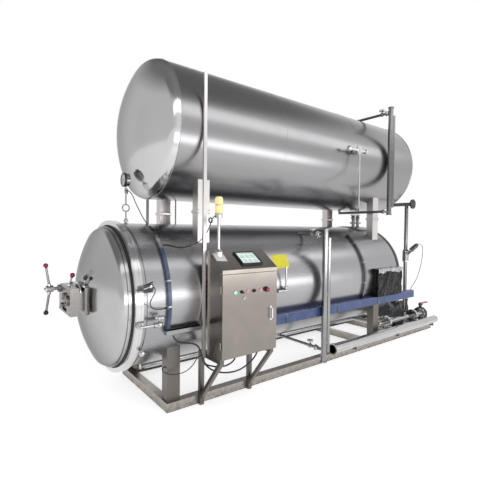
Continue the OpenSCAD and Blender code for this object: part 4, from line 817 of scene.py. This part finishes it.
# Control cabinet.
CONTROL_Z, KEY_Z = 1.042, 0.986
SCREEN_X, SCREEN_ALONG, SCREEN_OFF, TILE_OFF = 0.345, 0.1357, 0.0121, 0.0134
BEZEL = [(0.0155, SEATED), (0.0155, 0.003), (0.0135, 0.0062), (0.0112, 0.0062), (0.0108, 0.002), (0, 0.002)]
PLATE_SPAN, PLATE_LOW, PLATE_HIGH = (1.11, 1.32), 1.172, 1.308


def on_panel(dx, z):
    return facing((CAB_X + dx, PANEL_Y, z), NEAR)


def on_slope(dx, along, off):
    up = Vector((0.0, math.cos(SLOPE), math.sin(SLOPE)))
    out = Vector((0.0, -math.sin(SLOPE), math.cos(SLOPE)))
    turn = Matrix((Vector((1.0, 0.0, 0.0)), up, out)).transposed().to_4x4()
    return Matrix.Translation(SLOPE_FOOT + Vector((dx, 0.0, 0.0)) + up * along + out * off) @ turn


@piece("cabinet_door", "black_plastic", chrome, black_plastic, green_lens, red_lens, red_knob,
       replaced=["cabinet_controls"])
def control_row(add):
    """Three lamps, two switches, the stop button and, below, the key lock."""
    for dx, finish in ((0.13, green_lens), (0.258, red_lens), (0.402, red_lens)):
        lamp = on_panel(dx, CONTROL_Z)
        add(turned(BEZEL), lamp)
        add(turned([(0.0106, 0.0018), (0.0106, 0.01), (0.008, 0.0136), (0, 0.015)]), lamp, finish)
    for dx, lean in ((0.2, 35), (0.33, -35)):
        switch = on_panel(dx, CONTROL_Z)
        add(turned(BEZEL), switch, black_plastic)
        add(turned([(0.011, 0.0018), (0.011, 0.009), (0.0098, 0.0105), (0, 0.0105)]), switch, black_plastic)
        add(eased_block((0.008, 0.024, 0.016), 0.0015),
            switch @ spun(math.radians(lean)) @ placed(0, 0, 0.016), black_plastic)
    stop = on_panel(0.473, CONTROL_Z)
    add(turned([(0.025, SEATED), (0.025, 0.004), (0.0225, 0.0066), (0.0145, 0.0066), (0.013, 0.004),
                (0, 0.004)]), stop, black_plastic)
    add(turned([(0.011, 0.0035), (0.011, 0.0185), (0, 0.0185)]), stop, black_plastic)
    add(turned([(0, 0.0168), (0.01, 0.0168), (0.019, 0.0182), (0.0205, 0.0222), (0.0195, 0.029),
                (0.014, 0.0335), (0, 0.0355)]), stop, red_knob)
    key = on_panel(0.226, KEY_Z)
    add(turned(BEZEL), key)
    add(eased_block((0.0025, 0.014, 0.02), 0.0006), key @ placed(0, 0, 0.011))


@piece("plant", "black_plastic", screen_glow, screen_tile)
def screen_glass(add):
    add(eased_block((0.188, 0.14, 0.0022), 0.0004), on_slope(SCREEN_X, SCREEN_ALONG, SCREEN_OFF))
    add(eased_block((0.172, 0.016, 0.0005), 0.0001, 1), on_slope(SCREEN_X, 0.1925, TILE_OFF), screen_tile)
    for dx in (0.288, 0.345, 0.402):
        for along in (0.092, 0.15):
            add(eased_block((0.048, 0.046, 0.0005), 0.0001, 1), on_slope(dx, along, TILE_OFF), screen_tile)


@piece("plant", "shell_steel", white_plate, yellow_plate, bolt_steel)
def bare_plates(add):
    """Blank plate at the beacon's foot and blank curved plate on the cladding, with their screws."""
    foot = on_slope(0.07, 0.176, 0.0006) @ spun(math.radians(-6))
    add(eased_block((0.104, 0.108, 0.0016), 0.0006), foot)
    for x in (-0.043, 0.043):
        for y in (-0.045, 0.045):
            add(screw_head(0.008), foot @ placed(x, y, 0.0006), bolt_steel)
    plate = bmesh.new()
    reach = CLAD_R + 0.0004
    low, high = (math.asin((z - RETORT_Z) / reach) for z in (PLATE_LOW, PLATE_HIGH))
    foot_y, foot_z = -reach * math.cos(low), RETORT_Z + reach * math.sin(low)
    line = [plate.verts.new((x, foot_y, foot_z)) for x in PLATE_SPAN]
    bmesh.ops.spin(plate, geom=line + [plate.edges.new(line)], axis=(-1, 0, 0), cent=(0, 0, RETORT_Z),
                   steps=10, angle=high - low)
    bmesh.ops.solidify(plate, geom=plate.faces[:], thickness=0.0016)
    bmesh.ops.recalc_face_normals(plate, faces=plate.faces)
    add(plate, None, yellow_plate)
    for x in (PLATE_SPAN[0] + 0.01, PLATE_SPAN[1] - 0.01):
        for turn in (low + 0.016, high - 0.016):
            out = Vector((0.0, -math.cos(turn), math.sin(turn)))
            add(screw_head(0.008), facing(Vector((x, 0, RETORT_Z)) + out * (reach + 0.001), out), bolt_steel)


@piece("plant", "amber_lamp", amber_lens, pale_plastic, replaced=["beacon_lamp"])
def beacon_dressed(add):
    """Two ribbed lenses between a foot, a waist and a cap."""
    where = placed(BEACON_X, BEACON_Y, BEACON_Z)
    for profile, finish in (
            ([(0, 0.0), (0.032, 0.0), (0.0345, 0.004), (0.0345, 0.016), (0.0325, 0.018)], pale_plastic),
            ([(0.0325, 0.018), (0.0338, 0.02), (0.0338, 0.076), (0.032, 0.078)], amber_lens),
            ([(0.032, 0.078), (0.03, 0.08), (0.03, 0.086), (0.032, 0.088)], pale_plastic),
            ([(0.032, 0.088), (0.0334, 0.09), (0.033, 0.14), (0.03, 0.148)], amber_lens),
            ([(0.03, 0.148), (0.0285, 0.153), (0.018, 0.1585), (0, 0.16)], pale_plastic)):
        add(turned(profile, 40), where, finish)
    for i in range(24):
        for middle, high in ((0.048, 0.05), (0.114, 0.044)):
            add(eased_block((0.003, 0.0022, high), 0.0006, 1),
                where @ spun(math.tau * i / 24) @ placed(0.0334, 0, middle))


@piece("plant", "black_rubber", black_rubber, white_plate)
def cable_ring(add):
    """Spare turn of the beacon's lead, held by a clip."""
    for y in (-0.728, -0.72):
        add(turned(bead(0.021, 0.0042, 10), 32), facing((0.26, y, 1.642), (0.35, -1, 0.05)))
    add(eased_block((0.012, 0.02, 0.006), 0.0015), placed(0.279, -0.724, 1.65), white_plate)


# Valves, gauges and fittings.
VENTS_X, VENT_WHEEL_Z = (3.26, 3.37), 1.792
WHEELS = ((1.762, -0.52, 1.577), (1.762, -0.52, 0.302), (3.065, -0.56, 3.163), (-0.19, -0.705, 0.877),
          *((x, 0.0, VENT_WHEEL_Z) for x in VENTS_X))
LOBE_R, LOBES_AT = 0.0135, 0.026
UNIONS = (
    ((1.762, -0.6, 1.52), NEAR, 0.052, 0.03), ((1.762, -0.6, 0.245), NEAR, 0.052, 0.03),
    ((3.065, -0.62, 3.11), NEAR, 0.052, 0.03), ((-0.345, -0.672, 0.82), NEAR, 0.036, 0.018),
    ((-0.235, -0.705, 0.82), REAR, 0.036, 0.018), ((1.195, -0.654, 0.955), NEAR, 0.036, 0.016),
    ((1.195, -0.69, 0.975), UP, 0.034, 0.018), ((2.33, -0.66, 2.512), NEAR, 0.05, 0.03),
    ((-0.2, 0.0, 1.628), UP, 0.036, 0.016), ((-0.289, -0.6415, 0.971), NEAR, 0.022, 0.014),
    ((1.785, -0.3473, 1.511), (0, -0.53, 0.85), 0.03, 0.02))
TANK_GAUGE_Y, TANK_GAUGE_Z = -0.725, 2.512
RISER = Vector((3.972, -0.44, 1.19))
YOKE = 0.037
PUMP_Y, PUMP_Z = -0.22, 0.33


@piece("plant", "pipe_steel", chrome, bolt_steel)
def handwheels(add):
    """Lobed wheels on the valves, and the vent valves' stems and bonnet bolts."""
    turns = [math.radians(d) for d in range(-75, 90, 15)]
    lobe = [(LOBE_R * math.cos(a), LOBE_R * math.sin(a)) for a in turns]
    for x, y, z in WHEELS:
        for i in range(6):
            turn = math.tau * i / 6
            add(turned([(0, -LOBE_R)] + lobe + [(0, LOBE_R)], 16),
                placed(x + LOBES_AT * math.cos(turn), y + LOBES_AT * math.sin(turn), z - 0.0005))
        add(turned([(0.02, -0.006), (0.02, 0.004), (0.012, 0.007), (0, 0.008)], 24), placed(x, y, z))
    for x in VENTS_X:
        add(turned([(0.007, 0.0), (0.007, 0.03)], 16), placed(x, 0, 1.766), bolt_steel)
        add(bolt_ring(0.036, 4, 0.014), facing((x, 0.0, 1.683), UP), bolt_steel)


@piece("plant", "pipe_steel", pipe_bright)
def pipe_unions(add):
    """Hexagon unions where pipes meet valves and housings, and the tank gauge's bolts and band."""
    for at, ahead, across, high in UNIONS:
        add(hex_bolt(across, high), facing(at, ahead))
    add(bolt_ring(0.021, 4, 0.009), facing((2.48, TANK_GAUGE_Y, TANK_GAUGE_Z), REAR))
    add(turned([(0.0312, -0.004), (0.0322, 0.0), (0.0312, 0.004), (0.03, 0.004)], 32),
        placed(2.15, TANK_GAUGE_Y, TANK_GAUGE_Z))


@piece("plant", "pipe_steel", chrome, bolt_steel, black_plastic)
def riser_valve_parts(add):
    """Unions on the riser valve, the yoke of its leaning actuator and the pilot valve beside it."""
    for z, way in ((1.2545, UP), (1.1255, DOWN)):
        add(hex_bolt(0.072, 0.026), facing((RISER.x, RISER.y, z), way), bolt_steel)
    lean = facing(RISER, (0, -1, 1))
    for x in (-YOKE, YOKE):
        add(bent_rod([(x, 0.0, 0.04), (x, 0.0, 0.15)], 0.006), lean, bolt_steel)
        for high in (0.056, 0.12):
            add(hex_bolt(0.016, 0.009), lean @ facing((x, 0.0, high), UP), bolt_steel)
    for high in (0.132, 0.205):
        add(turned(bead(0.033, 0.0045), 32), lean @ placed(0, 0, high), bolt_steel)
    add(eased_block((0.034, 0.038, 0.056), 0.004), lean @ placed(-0.046, 0.0, 0.172), black_plastic)
    add(turned([(0, 0.018), (0.01, 0.017), (0.011, 0.0), (0, 0.0)], 20),
        lean @ facing((-0.0625, 0.0, 0.18), FRONT))
    add(bent_rod([(-0.046, 0.0, 0.148), (-0.047, 0.002, 0.12), (-0.044, 0.006, 0.09),
                  (-0.034, 0.01, 0.062)], 0.0045), lean)


@piece("plant", "pipe_steel", chrome, black_plastic)
def limit_switch_parts(add):
    """The switch's cover with its screws, and its arm with pivot and roller."""
    add(eased_block((0.079, 0.012, 0.062), 0.003), placed(-0.2925, -0.723, 1.113), black_plastic)
    add(turned([(0.012, -0.001), (0.012, 0.008), (0.009, 0.011), (0, 0.0115)], 24),
        facing((-0.276, -0.7285, 1.128), NEAR))
    add(bent_rod([(-0.276, -0.736, 1.128), (-0.305, -0.736, 1.121), (-0.34, -0.733, 1.112)], 0.004))
    add(turned([(0, -0.005), (0.009, -0.005), (0.01, -0.003), (0.01, 0.003), (0.009, 0.005), (0, 0.005)], 24),
        facing((-0.345, -0.7325, 1.111), NEAR), black_plastic)
    add(bent_rod([(-0.298, -0.706, 1.14), (-0.276, -0.706, 1.148), (-0.248, -0.706, 1.156)], 0.006),
        None, black_plastic)
    for x in (-0.322, -0.263):
        add(screw_head(0.006), facing((x, -0.729, 1.092), NEAR))


@piece("plant", "black_rubber", bolt_steel, black_rubber)
def cord_glands(add):
    """Nut and tapered boot at both ends of every cord."""
    for thick, _, _, points in CORDS.values():
        long, wide = (0.04, 1.5) if thick > 0.02 else (0.018, 2.1)
        across = thick * wide
        for at, ahead in ((points[0], points[1]), (points[-1], points[-2])):
            way = Vector(ahead) - Vector(at)
            where = facing(Vector(at) - way.normalized() * 0.0005, way)
            add(hex_bolt(across, across * 0.32), where)
            add(turned([(thick * 0.72, across * 0.3), (thick * 0.7, across * 0.55), (thick * 0.56, long),
                        (thick * 0.46, long)], 20), where, black_rubber)


@piece("plant", "pump_paint", bolt_steel, black_plastic, pump_enamel)
def pump_parts(add):
    """Casing bolts, the fan cowl's guard and the terminal box's lid."""
    for x, way in ((3.78, FRONT), (3.88, REAR)):
        add(bolt_ring(0.115, 8, 0.016), facing((x, PUMP_Y, PUMP_Z), way))
    cowl = facing((4.32, PUMP_Y, PUMP_Z), REAR)
    for r in (0.022, 0.04, 0.058, 0.076, 0.092):
        add(turned(bead(r, 0.0026), 40), cowl, black_plastic)
    for turn in (0.0, 0.5 * math.pi):
        add(eased_block((0.19, 0.006, 0.005), 0.0012), cowl @ spun(turn), black_plastic)
    add(eased_block((0.118, 0.098, 0.012), 0.003), placed(4.06, PUMP_Y, 0.463), pump_enamel)
    for x in (4.01, 4.11):
        for y in (-0.262, -0.178):
            add(screw_head(0.008), facing((x, y, 0.469), UP))


# Black film round the box on the near side, and the silver sheet over its top.
BOX_LOW, BOX_HIGH = Vector((2.804, -0.718, 0.7156)), Vector((3.376, -0.61, 1.076))
FLAP_FOLD, FLAP_BACK_Y, FLAP_FRONT_Y = 0.45, -0.648, -0.7265


def crumpled_film():
    part = bmesh.new()
    bmesh.ops.create_cube(part, size=1.0)
    bmesh.ops.scale(part, vec=BOX_HIGH - BOX_LOW, verts=part.verts)
    bmesh.ops.translate(part, vec=(BOX_HIGH + BOX_LOW) / 2, verts=part.verts)
    bmesh.ops.subdivide_edges(part, edges=part.edges[:], cuts=26, use_grid_fill=True)
    part.normal_update()
    for vert in part.verts:
        fold = 0.009 * noise.noise(vert.co * 11) + 0.006 * noise.noise(vert.co * 27)
        ridge = 0.012 * (0.5 - abs(noise.noise(vert.co * Vector((7, 9, 13)))))
        vert.co += vert.normal * (fold + ridge - 0.005)
    bmesh.ops.smooth_vert(part, verts=part.verts, factor=0.25, use_axis_x=True, use_axis_y=True,
                          use_axis_z=True)
    for vert in part.verts:
        vert.co.z = max(vert.co.z, BOX_LOW.z)
        clear = -math.sqrt(max((CLAD_R + 0.001) ** 2 - (vert.co.z - RETORT_Z) ** 2, 0.0))
        vert.co.y = min(vert.co.y, clear)
    return part


def torn_flap():
    part = bmesh.new()
    bmesh.ops.create_grid(part, x_segments=44, y_segments=14, size=0.5)
    for vert in part.verts:
        across, down = vert.co.x + 0.5, 0.5 - vert.co.y
        x = BOX_LOW.x - 0.002 + across * (BOX_HIGH.x - BOX_LOW.x + 0.004)
        torn = (0.052 + 0.03 * noise.noise(Vector((x * 9, 3.1, 0.7)))
                + 0.012 * noise.noise(Vector((x * 31, 1.3, 5.2))))
        lift = 0.004 * noise.noise(Vector((x * 19, down * 5, 2.0)))
        if down < FLAP_FOLD:
            vert.co = (x, FLAP_BACK_Y - 0.078 * down / FLAP_FOLD, BOX_HIGH.z + 0.004 + lift)
        else:
            hang = torn * (down - FLAP_FOLD) / (1 - FLAP_FOLD)
            vert.co = (x, FLAP_FRONT_Y + lift, BOX_HIGH.z + 0.002 - hang)
    bmesh.ops.recalc_face_normals(part, faces=part.faces)
    bmesh.ops.solidify(part, geom=part.faces[:], thickness=0.001)
    bmesh.ops.recalc_face_normals(part, faces=part.faces)
    return part


@piece("plant", "black_film", black_wrap, silver_wrap, replaced=["wrapped_box"])
def wrapped_box_film(add):
    add(crumpled_film())
    add(torn_flap(), None, silver_wrap)


# Cable ways: the trunk's lips and straps, and ties on the hoops.
TRUNK_MIDDLE, TRUNK_LONG, TRUNK_FACE = 2.226, 3.13, -0.6752
HOOP_TIES = ((-0.085, (40, 74, 92)), (2.595, (48, 72, 94)))


@piece("plant", "blue_film", tray_film)
def trunk_lips(add):
    for high, z in ((0.014, 0.709), (0.01, 0.6205)):
        add(eased_block((TRUNK_LONG, 0.003, high), 0.0008), placed(TRUNK_MIDDLE, TRUNK_FACE, z))
    for x in (1.23, 2.06, 2.89):
        add(eased_block((0.04, 0.004, 0.101), 0.001), placed(x, -0.6755, 0.665))


@piece("plant", "pipe_steel", pipe_bright)
def hoop_ties(add):
    for x, turns in HOOP_TIES:
        for turn in turns:
            out = Vector((0.0, -math.sin(math.radians(turn)), math.cos(math.radians(turn))))
            spot = Vector((x, 0.0, RETORT_Z)) + out * (CLAD_R + 0.0145)
            add(eased_block((0.034, 0.012, 0.032), 0.002), facing(spot, out))


# Floor, light and world.
FLOOR_HALF, FLOOR_GLOW = 60.0, 0.62
WHITE = (1.0, 1.0, 1.0, 1.0)
ZENITH = (0.26, 0.26, 0.27, 1.0)


def make_floor():
    """Pale floor that shows white to the eye and in metal, and still takes the shadow."""
    material, tree, shader, where = start_material(
        "studio_floor", {"Roughness": 0.9, "Emission Color": WHITE})
    smear = use_group(tree, MARKS, where, Size=0.4).outputs[0]
    feed(tree, shader.inputs["Base Color"],
         mix_colour(tree, smear, (0.82, 0.82, 0.82, 1.0), (0.8, 0.8, 0.8, 1.0)))
    path = shader_node(tree, "ShaderNodeLightPath", {}).outputs
    in_metal = math_node(tree, "MAXIMUM", path["Is Glossy Ray"], path["Is Transmission Ray"])
    seen = math_node(tree, "MAXIMUM", path["Is Camera Ray"], in_metal)
    feed(tree, shader.inputs["Emission Strength"], math_node(tree, "MULTIPLY", seen, FLOOR_GLOW))
    sheet = bmesh.new()
    bmesh.ops.create_grid(sheet, x_segments=2, y_segments=2, size=FLOOR_HALF)
    bmesh.ops.translate(sheet, vec=(2.0, 0.0, -0.0005), verts=sheet.verts)
    mesh = bpy.data.meshes.new("studio_floor")
    sheet.to_mesh(mesh)
    sheet.free()
    mesh.materials.append(material)
    floor = bpy.data.objects.new("studio_floor", mesh)
    scene.collection.objects.link(floor)


def make_world():
    """White round the horizon, darker overhead, and weaker towards the door's end."""
    world = bpy.data.worlds.new("soft_studio")
    world.use_nodes = True
    tree = world.node_tree
    sky = tree.nodes["Background"]
    look = shader_node(tree, "ShaderNodeTexCoord", {}).outputs["Generated"]
    split = shader_node(tree, "ShaderNodeSeparateXYZ", {0: look}).outputs
    ramp = shader_node(tree, "ShaderNodeValToRGB", {0: spread(tree, split[2], 0.0, 1.0, -1.0, 1.0)})
    bands = ramp.color_ramp.elements
    bands[0].position, bands[0].color = 0.0, WHITE
    bands[1].position, bands[1].color = 1.0, ZENITH
    for position, level in ((0.77, 1.0), (0.85, 0.3)):
        bands.new(position).color = (level, level, level, 1.0)
    feed(tree, sky.inputs["Color"], ramp.outputs[0])
    feed(tree, sky.inputs["Strength"], spread(tree, split[0], 0.72, 1.0, -0.75, -0.12))
    scene.world = world


def hang_lamp(name, spot, aim, size, power):
    data = bpy.data.lights.new(name, "AREA")
    data.shape = "RECTANGLE"
    data.size, data.size_y = size
    data.energy = power
    lamp = bpy.data.objects.new(name, data)
    scene.collection.objects.link(lamp)
    away = Vector(aim) - Vector(spot)
    lamp.matrix_world = Matrix.Translation(spot) @ away.to_track_quat("-Z", "Y").to_matrix().to_4x4()


STRIP = (9.0, 0.9)
make_floor()
make_world()
hang_lamp("low_strip", (2.0, -4.7, 1.05), (2.0, 0.0, 1.5), STRIP, 90.0)
hang_lamp("high_strip", (2.0, -2.55, 3.72), (2.0, 0.0, 1.7), STRIP, 34.0)
scene.view_settings.view_transform = "Standard"
